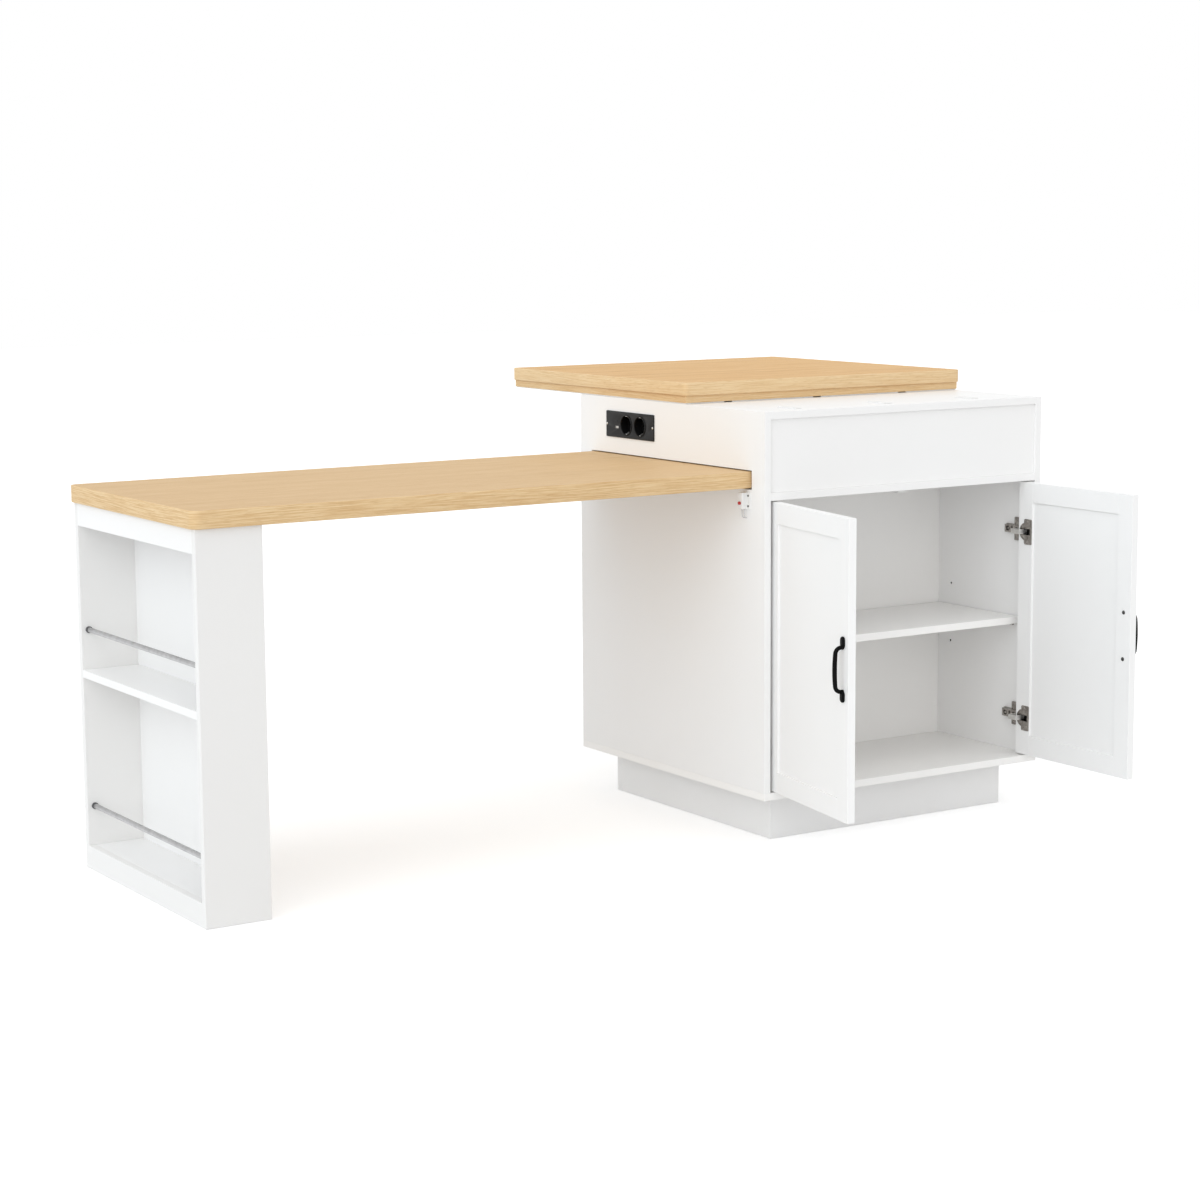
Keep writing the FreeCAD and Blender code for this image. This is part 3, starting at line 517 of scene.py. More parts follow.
def driven_screws(name, seats, finish, slot, body, *stands_for):
    """Piece made of screws of one size, driven into their seats."""
    mesh = bpy.data.meshes.new(name)
    mesh.from_pydata([place for place, axis, sizes in seats], [], [])
    ways = mesh.attributes.new("axis", "FLOAT_VECTOR", "POINT")
    ways.data.foreach_set("vector", np.array([axis for place, axis, sizes in seats]).ravel())
    inputs = {**seats[0][2], "Finish": finish}
    screws = rounded_over(baked(mesh, "NODES", inputs, node_group=cross_head_screws))
    return new_piece(name, screws, None, slot, body, *stands_for)


cross_head_screws = screw_tree()
black_plastic = moulded(
    "black_plastic", BLACK_PLASTIC, BLACK_PLASTIC_WORN, gloss=0.46, grain_scale=2600.0, grain_depth=0.00005,
    specular=0.22)
black_insert = moulded(
    "black_insert", INSERT_BLACK, INSERT_BLACK_WORN, gloss=0.34, grain_scale=2600.0, grain_depth=0.00002,
    specular=0.16)
white_insulator = moulded(
    "white_insulator", TONGUE_WHITE, TONGUE_SHADE, gloss=0.40, grain_scale=2600.0, grain_depth=0.00002)
nickel = bare_metal(
    "nickel", NICKEL, NICKEL_SHADE, gloss=0.26, stretch=(900, 900, 160), mark_depth=0.00001)
bright_tin = bare_metal(
    "bright_tin", BRIGHT_TIN, BRIGHT_TIN_SHADE, gloss=0.30, stretch=(200, 1200, 1200), mark_depth=0.00001)
dress(black_plastic, "socket_housing")
dress(black_insert, "socket_inserts")
moulded_plate = softened("socket_cover", "socket_plate", PLATE_EDGE)
new_piece("socket_cover", moulded_plate, black_plastic, "black_plastic", "cabinet", "socket_plate")

insert_low, insert_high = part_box("socket_inserts")
socket_level = (insert_low.z + insert_high.z) / 2
insert_radius = (insert_high.z - insert_low.z) / 2
clips = []
lips = []
for socket_y in (insert_low.y + insert_radius, insert_high.y - insert_radius):
    for side in (-1, 1):
        clip_rings = []
        for step in range(CLIP_STEPS + 1):
            share = step / CLIP_STEPS
            x = insert_low.x + CLIP_SETBACK + share * (BORE_DEPTH - CLIP_SETBACK)
            reach = BORE_RADIUS - CLIP_BULGE * math.sin(math.pi * share) ** 2
            z = socket_level + side * reach
            inner = z - side * CLIP_THICKNESS
            near = socket_y - CLIP_WIDTH / 2
            far = socket_y + CLIP_WIDTH / 2
            clip_rings.append([(x, near, inner), (x, far, inner), (x, far, z), (x, near, z)])
        clips.append(lofted("earth_clip", clip_rings))
    lip_rings = []
    for share, height in LIP_SECTION:
        x = insert_low.x - height * LIP_HEIGHT
        around = circle(BORE_RADIUS + share * (insert_radius - BORE_RADIUS))
        lip_rings.append([(x, socket_y + y, socket_level + z) for y, z in around])
    lips.append(lofted("socket_lip", lip_rings, closed=True))
lip_mesh = rounded_over(joined("socket_lips", lips))
clip_mesh = rounded_over(joined("earth_clips_bent", clips))
new_piece("socket_lips", lip_mesh, black_insert, "black_plastic", "cabinet")
new_piece("earth_clips_bent", clip_mesh, bright_tin, "brass", "cabinet", "earth_clips")

port_low, port_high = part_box("usb_port")
port_floor = port_high.x - PORT_WALL
port_rings = []
for x, inset in ((port_high.x, 0), (port_low.x, 0), (port_low.x, PORT_WALL), (port_floor, PORT_WALL)):
    outline = rounded_outline(
        (port_low.y, port_low.z), (port_high.y, port_high.z), (PORT_CORNER,) * 4, inset)
    port_rings.append([(x, y, z) for y, z in outline])
port_shell = rounded_over(lofted("usb_shell", port_rings))
new_piece("usb_shell", port_shell, nickel, "nickel", "cabinet", "usb_port")
tongue_low = (port_low.y + PORT_WALL + TONGUE_GAP, (port_low.z + port_high.z - TONGUE_THICKNESS) / 2)
tongue_high = (port_high.y - PORT_WALL - TONGUE_GAP, (port_low.z + port_high.z + TONGUE_THICKNESS) / 2)
tongue_tip = port_low.x + TONGUE_SETBACK
tongue_rings = []
for x, inset in ((tongue_tip, PORT_WALL), (tongue_tip + PORT_WALL, 0), (port_floor, 0)):
    outline = rounded_outline(tongue_low, tongue_high, (TONGUE_THICKNESS / 3,) * 4, inset)
    tongue_rings.append([(x, y, z) for y, z in outline])
port_tongue = rounded_over(lofted("usb_tongue", tongue_rings))
new_piece("usb_tongue", port_tongue, white_insulator, "white_plastic", "cabinet", "usb_port")

lens_y = (port_low.y + port_high.y) / 2
lens_z = (port_low.z + port_high.z) / 2 + LENS_RISE
plate_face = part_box("socket_plate")[0].x
lens_rings = []
for share, height in LENS_SECTION:
    x = plate_face - height * LENS_HEIGHT
    lens_rings.append([(x, lens_y + y, lens_z + z) for y, z in circle(share * LENS_RADIUS)])
lens = rounded_over(lofted("indicator_lens", lens_rings))
new_piece("indicator_lens", lens, black_insert, "black_plastic", "cabinet")
driven_screws(
    "socket_plate_screws", screw_seats("socket_screws"), bright_tin, "nickel", "cabinet", "socket_screws")


# Push switch: a small white case with an ear, screwed to the side panel where the table's edge passes.
# Moulded plastic; its red button stands on a spring of wound wire, which is squashed as the button goes in,
# and two leads leave underneath through holes in the panel.

SWITCH_WHITE = (0.84, 0.835, 0.82, 1)
SWITCH_SHADE = (0.79, 0.785, 0.77, 1)
BUTTON_RED = (0.50, 0.030, 0.024, 1)
BUTTON_RED_DEEP = (0.40, 0.020, 0.016, 1)
SLEEVE_GREY = (0.60, 0.60, 0.60, 1)
SLEEVE_SHADE = (0.52, 0.52, 0.52, 1)
DARK_STEEL = (0.055, 0.054, 0.052, 1)
DARK_STEEL_WORN = (0.11, 0.108, 0.104, 1)


def joint_named(name):
    return next(joint for joint in frame["joints"] if joint["name"] == name)


white_plastic = moulded(
    "white_plastic", SWITCH_WHITE, SWITCH_SHADE, gloss=0.45, grain_scale=1900.0, grain_depth=0.00004)
red_plastic = moulded(
    "red_plastic", BUTTON_RED, BUTTON_RED_DEEP, gloss=0.30, grain_scale=2600.0, grain_depth=0.00001,
    specular=0.4)
lead_sleeve = moulded(
    "lead_sleeve", SLEEVE_GREY, SLEEVE_SHADE, gloss=0.5, grain_scale=2200.0, grain_depth=0.00002)
dark_steel = bare_metal(
    "dark_steel", DARK_STEEL, DARK_STEEL_WORN, gloss=0.42, stretch=(1200, 1200, 1200), mark_depth=0.00001)
dress(white_plastic, "switch_body")
dress(red_plastic, "switch_button")
dress(lead_sleeve, "switch_leads")
driven_screws(
    "switch_ear_screws", screw_seats("switch_screws"), dark_steel, "dark_steel", "cabinet", "switch_screws")
wound_wire = rounded_over(merged("switch_coil", "switch_spring"))
coil = new_piece("switch_coil", wound_wire, nickel, "nickel", "cabinet", "switch_spring")
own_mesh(coil)


# Shelf: a loose board of the inside's white, painted lighter as painted light, on four nickel pins that push
# into holes in the side panels.
# A small moulded stop, glued under the divider, meets the closed doors.

dress(lit_inside_melamine, "shelf")
dress(nickel, "shelf_pins")
dress(white_plastic, "door_stop")


# Bay for the table: two smooth plastic runners under it and an aluminium angle beside each long edge.
# Both are screwed to the divider and stay hidden behind the fascia.

ALUMINIUM = (0.72, 0.725, 0.73, 1)
ALUMINIUM_SHADE = (0.60, 0.605, 0.61, 1)

aluminium = bare_metal(
    "aluminium", ALUMINIUM, ALUMINIUM_SHADE, gloss=0.38, stretch=(30, 1500, 1500), mark_depth=0.00001)
dress(white_plastic, "table_runners")
dress(aluminium, "table_guides")


# Table top: a laminated oak board with a band 2 mm thick glued round its edges and its outer corners.
# The grain runs along the table, and along each edge on the band; it slides through the slot on its runners.

TABLE_OAK = ((0.565, 0.365, 0.180, 1), (0.660, 0.455, 0.242, 1), (0.725, 0.518, 0.292, 1))
TABLE_BAND_OAK = ((0.560, 0.340, 0.150, 1), (0.730, 0.515, 0.278, 1), (0.830, 0.645, 0.400, 1))
OAK_PORE = (0.47, 0.275, 0.115, 1)
BAND_THICKNESS = 0.002
BAND_SEAM = 0.00025
TOP_EASE = 0.0015
TABLE_CORNER = 0.019
EASE_STEPS = 4
OAK_SPECULAR = 0.18
SWAY_STRETCH = (1.1, 7.0, 1)
SWAY = 0.02
BROAD_STRETCH = (0.9, 24.0, 1)
STREAK_STRETCH = (1.9, 95.0, 1)
FIBRE_STRETCH = (11.0, 520.0, 1)
PORE_STRETCH = (48.0, 520.0, 1)
FIGURE_SPREAD = 0.21
FIBRE_SPREAD = 0.15
PORE_SHARE = 0.3
PORE_FROM = 0.55
PORE_TO = 0.70
DENT_FROM = 0.58
DENT_TO = 0.75
DENT_DEPTH = 0.00006
DULL_OAK = 0.62
SHINY_OAK = 0.50
SHINE_FROM = 0.3
SHINE_TO = 0.7
BAND_SHIFT = (0.37, 0.61, 0)


def ramp(tree, share, *stops):
    """Colours along a value, each with its place."""
    made = add(tree, "ShaderNodeValToRGB", {"Fac": share})
    elements = made.color_ramp.elements
    while len(elements) < len(stops):
        elements.new(0.5)
    for element, (position, colour) in zip(elements, stops):
        element.position = position
        element.color = colour
    return made.outputs["Color"]


def oak(name, tones, shift=(0, 0, 0), figure=1.0, fibre=1.0):
    """Oak in three tones, on the piece's own map, which runs in metres along and across the grain.

    Figure is how strong the long streaks are, and fibre how strong the fine lines are.
    """
    dark, middle, light = tones
    finish, tree, shader = new_finish(name, Specular_IOR_Level=OAK_SPECULAR)
    grain = add(tree, "ShaderNodeUVMap", uv_map="grain").outputs["UV"]
    place = add(tree, "ShaderNodeVectorMath", {0: grain, 1: shift}, operation="ADD").outputs[0]
    wander = noise(tree, stretched(tree, place, SWAY_STRETCH), 1.0, detail=2.0)
    sway = add(tree, "ShaderNodeCombineXYZ", {"Y": ranged(tree, wander, -SWAY, SWAY)}).outputs[0]
    bent = add(tree, "ShaderNodeVectorMath", {0: place, 1: sway}, operation="ADD").outputs[0]

    def drawn_out(stretch, detail, roughness=0.5):
        return noise(tree, stretched(tree, bent, stretch), 1.0, detail, roughness)

    def toned(share, spread):
        return ramp(tree, share, (0.5 - spread, dark), (0.5, middle), (0.5 + spread, light))

    swathes = drawn_out(BROAD_STRETCH, detail=3.0)
    streaks = drawn_out(STREAK_STRETCH, detail=6.0, roughness=0.62)
    fibres = drawn_out(FIBRE_STRETCH, detail=4.0, roughness=0.6)
    pores = drawn_out(PORE_STRETCH, detail=2.0)
    spread = FIGURE_SPREAD / figure
    broad = blended(tree, 0.5, toned(swathes, spread), toned(streaks, spread))
    wood = blended(tree, 0.5, broad, toned(fibres, FIBRE_SPREAD / fibre))
    flecks = ranged(tree, pores, 0, PORE_SHARE, PORE_FROM, PORE_TO)
    tree.links.new(blended(tree, flecks, wood, OAK_PORE), shader.inputs["Base Color"])
    shine = ranged(tree, fibres, DULL_OAK, SHINY_OAK, SHINE_FROM, SHINE_TO)
    tree.links.new(shine, shader.inputs["Roughness"])
    roughen(tree, shader, ranged(tree, pores, 1, 0, DENT_FROM, DENT_TO), DENT_DEPTH)
    return finish


def slab_rings(low, high, radii, profile):
    """Rings round a slab, one for each inset and height of a section."""
    rings = []
    for inset, z in profile:
        rings.append([(x, y, z) for x, y in rounded_outline(low, high, radii, inset)])
    return rings


def laminated_board(name, low, high, radii):
    """Core of a slab inside its edge band, with its arrises just broken."""
    profile = [
        (BAND_THICKNESS + BAND_SEAM, low.z), (BAND_THICKNESS, low.z + BAND_SEAM),
        (BAND_THICKNESS, high.z - BAND_SEAM), (BAND_THICKNESS + BAND_SEAM, high.z)]
    return lofted(name, slab_rings(low, high, radii, profile))


def eased_arris(rise, start):
    """Quarter round of the band's section, as how far in and how high."""
    points = []
    for step in range(EASE_STEPS + 1):
        angle = math.radians(start - 90 * step / EASE_STEPS)
        points.append((TOP_EASE * (1 + math.cos(angle)), rise + TOP_EASE * math.sin(angle)))
    return points


def edge_band(name, low, high, radii):
    """Band wrapped round a slab, its map running along the edge and up it."""
    profile = [(BAND_THICKNESS, low.z + BAND_SEAM), (BAND_THICKNESS - BAND_SEAM, low.z)]
    profile += eased_arris(low.z + TOP_EASE, 270) + eased_arris(high.z - TOP_EASE, 180)
    profile += [(BAND_THICKNESS - BAND_SEAM, high.z), (BAND_THICKNESS, high.z - BAND_SEAM)]
    outer = rounded_outline(low, high, radii)
    travelled = [0.0]
    for spot in range(len(outer)):
        travelled.append(travelled[-1] + math.dist(outer[spot - 1], outer[spot]))
    climbed = [0.0]
    for start, end in zip(profile, profile[1:] + profile[:1]):
        climbed.append(climbed[-1] + math.dist(start, end))
    mesh = lofted(
        name, slab_rings(low, high, radii, profile), closed=True,
        chart=lambda level, spot: (travelled[spot], climbed[level]))
    return rounded_over(mesh)


def banded_slab(node, body, radii, face_finish, band_finish):
    """Board and edge band that stand for an oak slab."""
    low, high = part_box(node)
    board = laminated_board(node + "_board", low, high, radii)
    band = edge_band(node + "_edge_band", low, high, radii)
    new_piece(board.name, board, face_finish, "oak", body, node)
    new_piece(band.name, band, band_finish, "oak", body, node)


table_oak = oak("table_oak", TABLE_OAK, figure=1.1)
table_band = oak("table_band", TABLE_BAND_OAK, BAND_SHIFT, figure=0.7, fibre=1.7)
banded_slab("table_top", "table", (TABLE_CORNER, 0, 0, TABLE_CORNER), table_oak, table_band)
dress(white_plastic, "table_stops")


# Leg unit: an open white case under the table's outer end, with two shelves that face outwards.
# Melamine boards joined as the carcass is, the sides and kick board in a slightly greyer white, painted shade
# for the lower light they get; screws go up into the table through its top board.

LEG_SHADED_WHITE = (0.832, 0.824, 0.812, 1)
LEG_SHADED_WARM = (0.821, 0.812, 0.798, 1)

# Greyer white on the leg's sides and kick board: painted shade.
shaded_leg_melamine = melamine("shaded_leg_melamine", LEG_SHADED_WHITE, LEG_SHADED_WARM)
dress(shaded_leg_melamine, "leg_sides", "leg_kick_board")
dress(white_melamine, "leg_back_panel", "leg_apron", "leg_bottom_shelf", "leg_shelf", "leg_top_board")
driven_screws("leg_fixing_screws", screw_seats("leg_screws"), nickel, "nickel", "table", "leg_screws")


# Guard rods: two steel rods across the leg's open side, one above each shelf, in dark plastic cups.
# Drawn and brushed round bar, sprung into place between the side boards.

ROD_STEEL = (0.50, 0.50, 0.505, 1)
ROD_STEEL_SHADE = (0.40, 0.40, 0.405, 1)
CUP_GREY = (0.10, 0.10, 0.105, 1)
CUP_GREY_WORN = (0.13, 0.13, 0.135, 1)

brushed_steel = bare_metal(
    "brushed_steel", ROD_STEEL, ROD_STEEL_SHADE, gloss=0.32, stretch=(500, 2600, 500), mark_depth=0.00001)
dark_plastic = moulded(
    "dark_plastic", CUP_GREY, CUP_GREY_WORN, gloss=0.45, grain_scale=2400.0, grain_depth=0.00003)
dress(brushed_steel, "guard_rods")
dress(dark_plastic, "rod_cups")


# Worktop: an oak slab on a thinner oak base, which slides back over plastic pads on two aluminium rails.
# Laminated board banded like the table; the base stands back so that a shadow line shows under the slab, and
# white felt strips glued under its edges close the gap that the pads leave.

SLAB_CORNER = 0.011
FACING = 0.7
FELT_WIDTH = 0.004
FELT_SETBACK = 0.0015
FELT_CLEARANCE = 0.0003
FELT_GLUE = 0.00002
SLAB_SHIFT = (0.21, 0.47, 0)
BASE_SHIFT = (0.83, 0.29, 0)
WORKTOP_OAK = ((0.555, 0.315, 0.124, 1), (0.690, 0.420, 0.172, 1), (0.765, 0.508, 0.240, 1))
WORKTOP_BAND_OAK = ((0.650, 0.440, 0.232, 1), (0.768, 0.560, 0.318, 1), (0.835, 0.655, 0.415, 1))


def unwrapped_base():
    """Copy of the base whose map runs along X on its faces and long edges, and along Y on its ends."""
    mesh = merged("worktop_base_board", "worktop_base")
    grain = mesh.uv_layers.new(name="grain")
    for face in mesh.polygons:
        upright = abs(face.normal.z) < FACING
        along, across = (1, 2) if abs(face.normal.x) > FACING else (0, 2 if upright else 1)
        for corner in face.loop_indices:
            place = mesh.vertices[mesh.loops[corner].vertex_index].co
            grain.data[corner].uv = (place[along], place[across])
    return rounded_over(mesh)


worktop_oak = oak("worktop_oak", WORKTOP_OAK, SLAB_SHIFT, figure=2.0, fibre=1.2)
worktop_band = oak("worktop_band", WORKTOP_BAND_OAK, BAND_SHIFT, figure=0.7, fibre=1.6)
banded_slab("worktop_slab", "worktop", (SLAB_CORNER,) * 4, worktop_oak, worktop_band)
base_oak = oak("base_oak", TABLE_BAND_OAK, BASE_SHIFT, figure=0.7)
new_piece("worktop_base_board", unwrapped_base(), base_oak, "oak", "worktop", "worktop_base")
dress(white_plastic, "glide_pads", "worktop_sliders")
dress(aluminium, "worktop_rails")
base_low, base_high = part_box("worktop_base")


def felt_strip(left, right, near, far):
    """Strip under the base, just clear of the cabinet's top."""
    outline = rounded_outline((left, near), (right, far), (FELT_WIDTH / 3,) * 4)
    heights = (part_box("top_panel")[1].z + FELT_CLEARANCE, base_low.z - FELT_GLUE)
    return lofted("felt_strip", [[(x, y, z) for x, y in outline] for z in heights])


left_felt = base_low.x + FELT_SETBACK
right_felt = base_high.x - FELT_SETBACK
front_felt = base_low.y + FELT_SETBACK
back_felt = base_high.y - FELT_SETBACK
strips = [
    felt_strip(left_felt, left_felt + FELT_WIDTH, front_felt, back_felt),
    felt_strip(right_felt - FELT_WIDTH, right_felt, front_felt, back_felt)]
pad_columns = sorted({
    (round(pad[:, 0].min(), 4), round(pad[:, 0].max(), 4)) for pad in solids_of("glide_pads")})
starts = [left_felt + FELT_WIDTH] + [end + FELT_SETBACK for start, end in pad_columns]
ends = [start - FELT_SETBACK for start, end in pad_columns] + [right_felt - FELT_WIDTH]
for start, end in zip(starts, ends):
    strips.append(felt_strip(start, end, front_felt, front_felt + FELT_WIDTH))
felt_mesh = rounded_over(joined("worktop_felt", strips))
new_piece("worktop_felt", felt_mesh, white_plastic, "white_plastic", "worktop")


# Concealed hinges: nickel-plated plates and arms on the side panels, and cups let into the doors.
# Pressed steel with rounded edges; each plate is held by two screws, and each arm has a neck in brighter
# metal, partly painted light where it lies in the cup's shade, and three slots, two of them with an adjusting
# screw, whose walls are painted near-black as painted shade.

HINGE_EDGE = 0.0006
PAINTED_SHADE_STEEL = (0.030, 0.028, 0.026, 1)
PAINTED_SHADE_STEEL_WORN = (0.055, 0.052, 0.048, 1)
PLATE_THICKNESS = 0.003
ARM_DEPTH = 0.008
NECK_END = 0.029
SLOT_DEPTH = 0.003
SCREW_DEPTH = 0.0012
SLOT_ROUNDING = 0.49
ARM_SLOTS = ((0.043, 0.010, 0.009, True), (0.0575, 0.004, 0.011, False), (0.071, 0.012, 0.010, True))
ADJUSTING_SCREW = {
    "Head Radius": 0.0033, "Head Height": 0.0011, "Shank Radius": 0.0016, "Shank Length": 0.005}


def slotted(mesh, cutters):
    """Mesh with slots cut in it, whose walls take the cutters' finish."""
    tool = bpy.data.objects.new("slot_cutter", cutters)
    bpy.context.scene.collection.objects.link(tool)
    cut = baked(
        mesh, "BOOLEAN", object=tool, operation="DIFFERENCE", solver="EXACT", material_mode="TRANSFER")
    bpy.data.objects.remove(tool)
    return rounded_over(cut)


# Near-black steel: painted shade inside the doors' hinge cups and on the walls of the arms' slots.
painted_shade_steel = bare_metal(
    "painted_shade_steel", PAINTED_SHADE_STEEL, PAINTED_SHADE_STEEL_WORN, gloss=0.45, stretch=(900, 900, 900),
    mark_depth=0.00001)
pressed_plates = softened("hinge_plates_pressed", "hinge_plates", HINGE_EDGE)
new_piece("hinge_plates_pressed", pressed_plates, nickel, "nickel", "cabinet", "hinge_plates")
driven_screws("hinge_plate_screws", screw_seats("hinge_screws"), nickel, "nickel", "cabinet", "hinge_screws")
plates_low, plates_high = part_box("hinge_plates")
front_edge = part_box("side_panel_left")[0].y
hinge_levels = sorted({round(float(solid[:, 2].mean()), 3) for solid in solids_of("hinge_arms")})
adjusting_seats = []
slots = []
for level in hinge_levels:
    for wall, inward in ((plates_low.x, 1), (plates_high.x, -1)):
        face = wall + inward * (PLATE_THICKNESS + ARM_DEPTH)
        for along, length, height, adjusted in ARM_SLOTS:
            low = (front_edge + along - length / 2, level - height / 2)
            high = (front_edge + along + length / 2, level + height / 2)
            outline = rounded_outline(low, high, (min(length, height) * SLOT_ROUNDING,) * 4)
            depths = (face - inward * SLOT_DEPTH, face + inward * SLOT_DEPTH)
            slots.append(lofted("arm_slot", [[(x, y, z) for y, z in outline] for x in depths]))
            if adjusted:
                place = (face - inward * SCREW_DEPTH, front_edge + along, level)
                adjusting_seats.append((place, (inward, 0, 0), ADJUSTING_SCREW))
cutters = joined("arm_slots", slots)
# The slots' walls take the near-black steel, as painted shade.
cutters.materials.append(painted_shade_steel)
pressed_arms = softened("hinge_arms_pressed", "hinge_arms", HINGE_EDGE)
pressed_arms.materials.clear()
pressed_arms.materials.append(nickel)
slotted_arms = slotted(pressed_arms, cutters)
# The necks take a brighter metal than the arms: partly a polished neck, partly painted light where the necks
# lie in the cups' shade.
lit_neck_index = len(slotted_arms.materials)
slotted_arms.materials.append(bright_tin)
for face in slotted_arms.polygons:
    if face.center.y < front_edge + NECK_END:
        face.material_index = lit_neck_index
new_piece("hinge_arms_pressed", slotted_arms, None, "nickel", "cabinet", "hinge_arms")
driven_screws("hinge_adjusting_screws", adjusting_seats, nickel, "nickel", "cabinet")


# Doors: two framed doors with flat panels, sprayed white after they are glued up.
# Each hangs on two pressed cups, their insides painted near-black as painted shade, let into its hinge stile
# and screwed there; a cover with a slot for the arm closes each cup, and a flange plate lies on the door
# beside it.

LACQUER_WHITE = (0.900, 0.897, 0.892, 1)
LACQUER_WARM = (0.892, 0.888, 0.881, 1)
LACQUER_GLOSS = 0.38
LACQUER_PEEL = 700.0
LACQUER_PEEL_DEPTH = 0.00005
CUP_SCREW_LONGEST = 0.015
CUP_OFFSET = 0.0225
CUP_INSIDE = 0.0166
COVER_THICKNESS = 0.0008
COVER_SETBACK = 0.0003
COVER_SLOT = 0.0130
COVER_SLOT_END = 0.0138
COVER_STEPS = 40
FLANGE_FROM = 0.0088
FLANGE_TO = 0.0186
FLANGE_HALF = 0.0268
FLANGE_CORNER = 0.0030
FLANGE_PROUD = 0.0001
FLANGE_THICKNESS = 0.0012


def opened(joint_name):
    """Turn that takes a piece modelled on the shut door to where the door stands at rest."""
    joint = joint_named(joint_name)
    to_pivot = Matrix.Translation(joint["pos_m"])
    turn = Matrix.Rotation(math.radians(-joint["range_deg"][1]), 4, Vector(joint["axis"]))
    return to_pivot @ turn @ to_pivot.inverted()


def shut_points(node, joint_name):
    """Corner points of each solid of a door's node, with the door shut."""
    back = np.array(opened(joint_name).inverted())
    return [solid @ back[:3, :3].T + back[:3, 3] for solid in solids_of(node)]


def paint_cup_shade(mesh, back, centres):
    """Painted shade: a near-black steel finish on the faces inside the cups of a shut door."""
    mesh.materials.clear()
    mesh.materials.append(nickel)
    mesh.materials.append(painted_shade_steel)
    reach = CUP_INSIDE + HINGE_EDGE
    for face in mesh.polygons:
        place = back @ face.center
        for x, y, z in centres:
            if math.hypot(place.x - x, place.z - z) < reach and place.y < y - PLATE_THICKNESS:
                face.material_index = 1


def cup_plate(name, outline, centre, inward, depths):
    """Flat plate at a cup, between two depths below its mouth."""
    x, y, z = centre
    rings = []
    for depth in depths:
        rings.append([(x + inward * along, y - depth, z + up) for along, up in outline])
    return lofted(name, rings)


def cup_cover(centre, inward):
    """Plate in the mouth of a cup, open from the hinge's side along a slot for the arm."""
    half = COVER_SLOT / 2
    opening = math.asin(half / CUP_INSIDE)
    outline = []
    for step in range(COVER_STEPS + 1):
        angle = -math.pi + opening + (2 * math.pi - 2 * opening) * step / COVER_STEPS
        outline.append((CUP_INSIDE * math.cos(angle), CUP_INSIDE * math.sin(angle)))
    outline += [(COVER_SLOT_END, half), (COVER_SLOT_END, -half)]
    depths = (COVER_SETBACK, COVER_SETBACK + COVER_THICKNESS)
    return cup_plate("cup_cover", outline, centre, inward, depths)


def cup_flange(centre, inward):
    """Plate on the door round the far end of the arm's slot, from one wing to the other."""
    half = COVER_SLOT / 2
    outline = rounded_outline(
        (FLANGE_FROM, -FLANGE_HALF), (FLANGE_TO, FLANGE_HALF), (0, FLANGE_CORNER, FLANGE_CORNER, 0))
    outline += [(FLANGE_FROM, half), (COVER_SLOT_END, half), (COVER_SLOT_END, -half), (FLANGE_FROM, -half)]
    depths = (-FLANGE_PROUD, FLANGE_THICKNESS - FLANGE_PROUD)
    return cup_plate("cup_flange", outline, centre, inward, depths)


white_lacquer = white_coating(
    "white_lacquer", LACQUER_WHITE, LACQUER_WARM, LACQUER_GLOSS, LACQUER_PEEL, LACQUER_PEEL_DEPTH)
for door, wall, inward in (("door_left", plates_low.x, 1), ("door_right", plates_high.x, -1)):
    joint_name = door + "_hinge"
    dress(white_lacquer, door + "_stiles", door + "_rails", door + "_panel")
    mouth = max(solid[:, 1].max() for solid in shut_points(door + "_hinge_cups", joint_name))
    hinge_face = wall + inward * PLATE_THICKNESS
    centres = [(hinge_face + inward * CUP_OFFSET, mouth, level) for level in hinge_levels]
    pressed = softened(door + "_pressed_cups", door + "_hinge_cups", HINGE_EDGE / 2)
    # The cups' insides are painted near-black, as painted shade.
    paint_cup_shade(pressed, opened(joint_name).inverted(), centres)
    new_piece(door + "_pressed_cups", pressed, None, "nickel", door, door + "_hinge_cups")
    covers = joined(door + "_cup_covers", [
        plate(centre, inward) for centre in centres for plate in (cup_cover, cup_flange)])
    covers.transform(opened(joint_name))
    new_piece(door + "_cup_covers", rounded_over(covers), nickel, "nickel", door, door + "_hinge_cups")
    screws = door + "_screws"
    short_seats = [seat for seat in screw_seats(screws) if seat[2]["Shank Length"] < CUP_SCREW_LONGEST]
    driven_screws(door + "_cup_screws", short_seats, nickel, "nickel", door, screws)


# Handles: a black bow on each free stile, with a grip that swells in the middle and flat feet at its ends.
# Cast zinc with a matt powder coat, held by two machine screws from inside the door.

HANDLE_BLACK = (0.0025, 0.0025, 0.0026, 1)
HANDLE_WORN = (0.0045, 0.0045, 0.0047, 1)
BOW_CENTRES = 0.085
BOW_SWEEP = math.radians(5)
BOW_BEND = 0.012
GRIP_RADIUS = 0.0046
ROOT_RADIUS = 0.0041
FOOT_LENGTH = 0.023
FOOT_WIDTH = 0.015
FOOT_THICKNESS = 0.005
FOOT_END_FLAT = 0.00001
FOOT_SECTION = ((0.0, 0.0), (0.0, 0.5), (0.10, 0.78), (0.28, 0.93), (0.55, 1.0))
BEND_STEPS = 8
GRIP_STEPS = 12
CASTING_GRAIN = 0.0006
SOFTENING = 0.5
SOFTENING_STEPS = 8


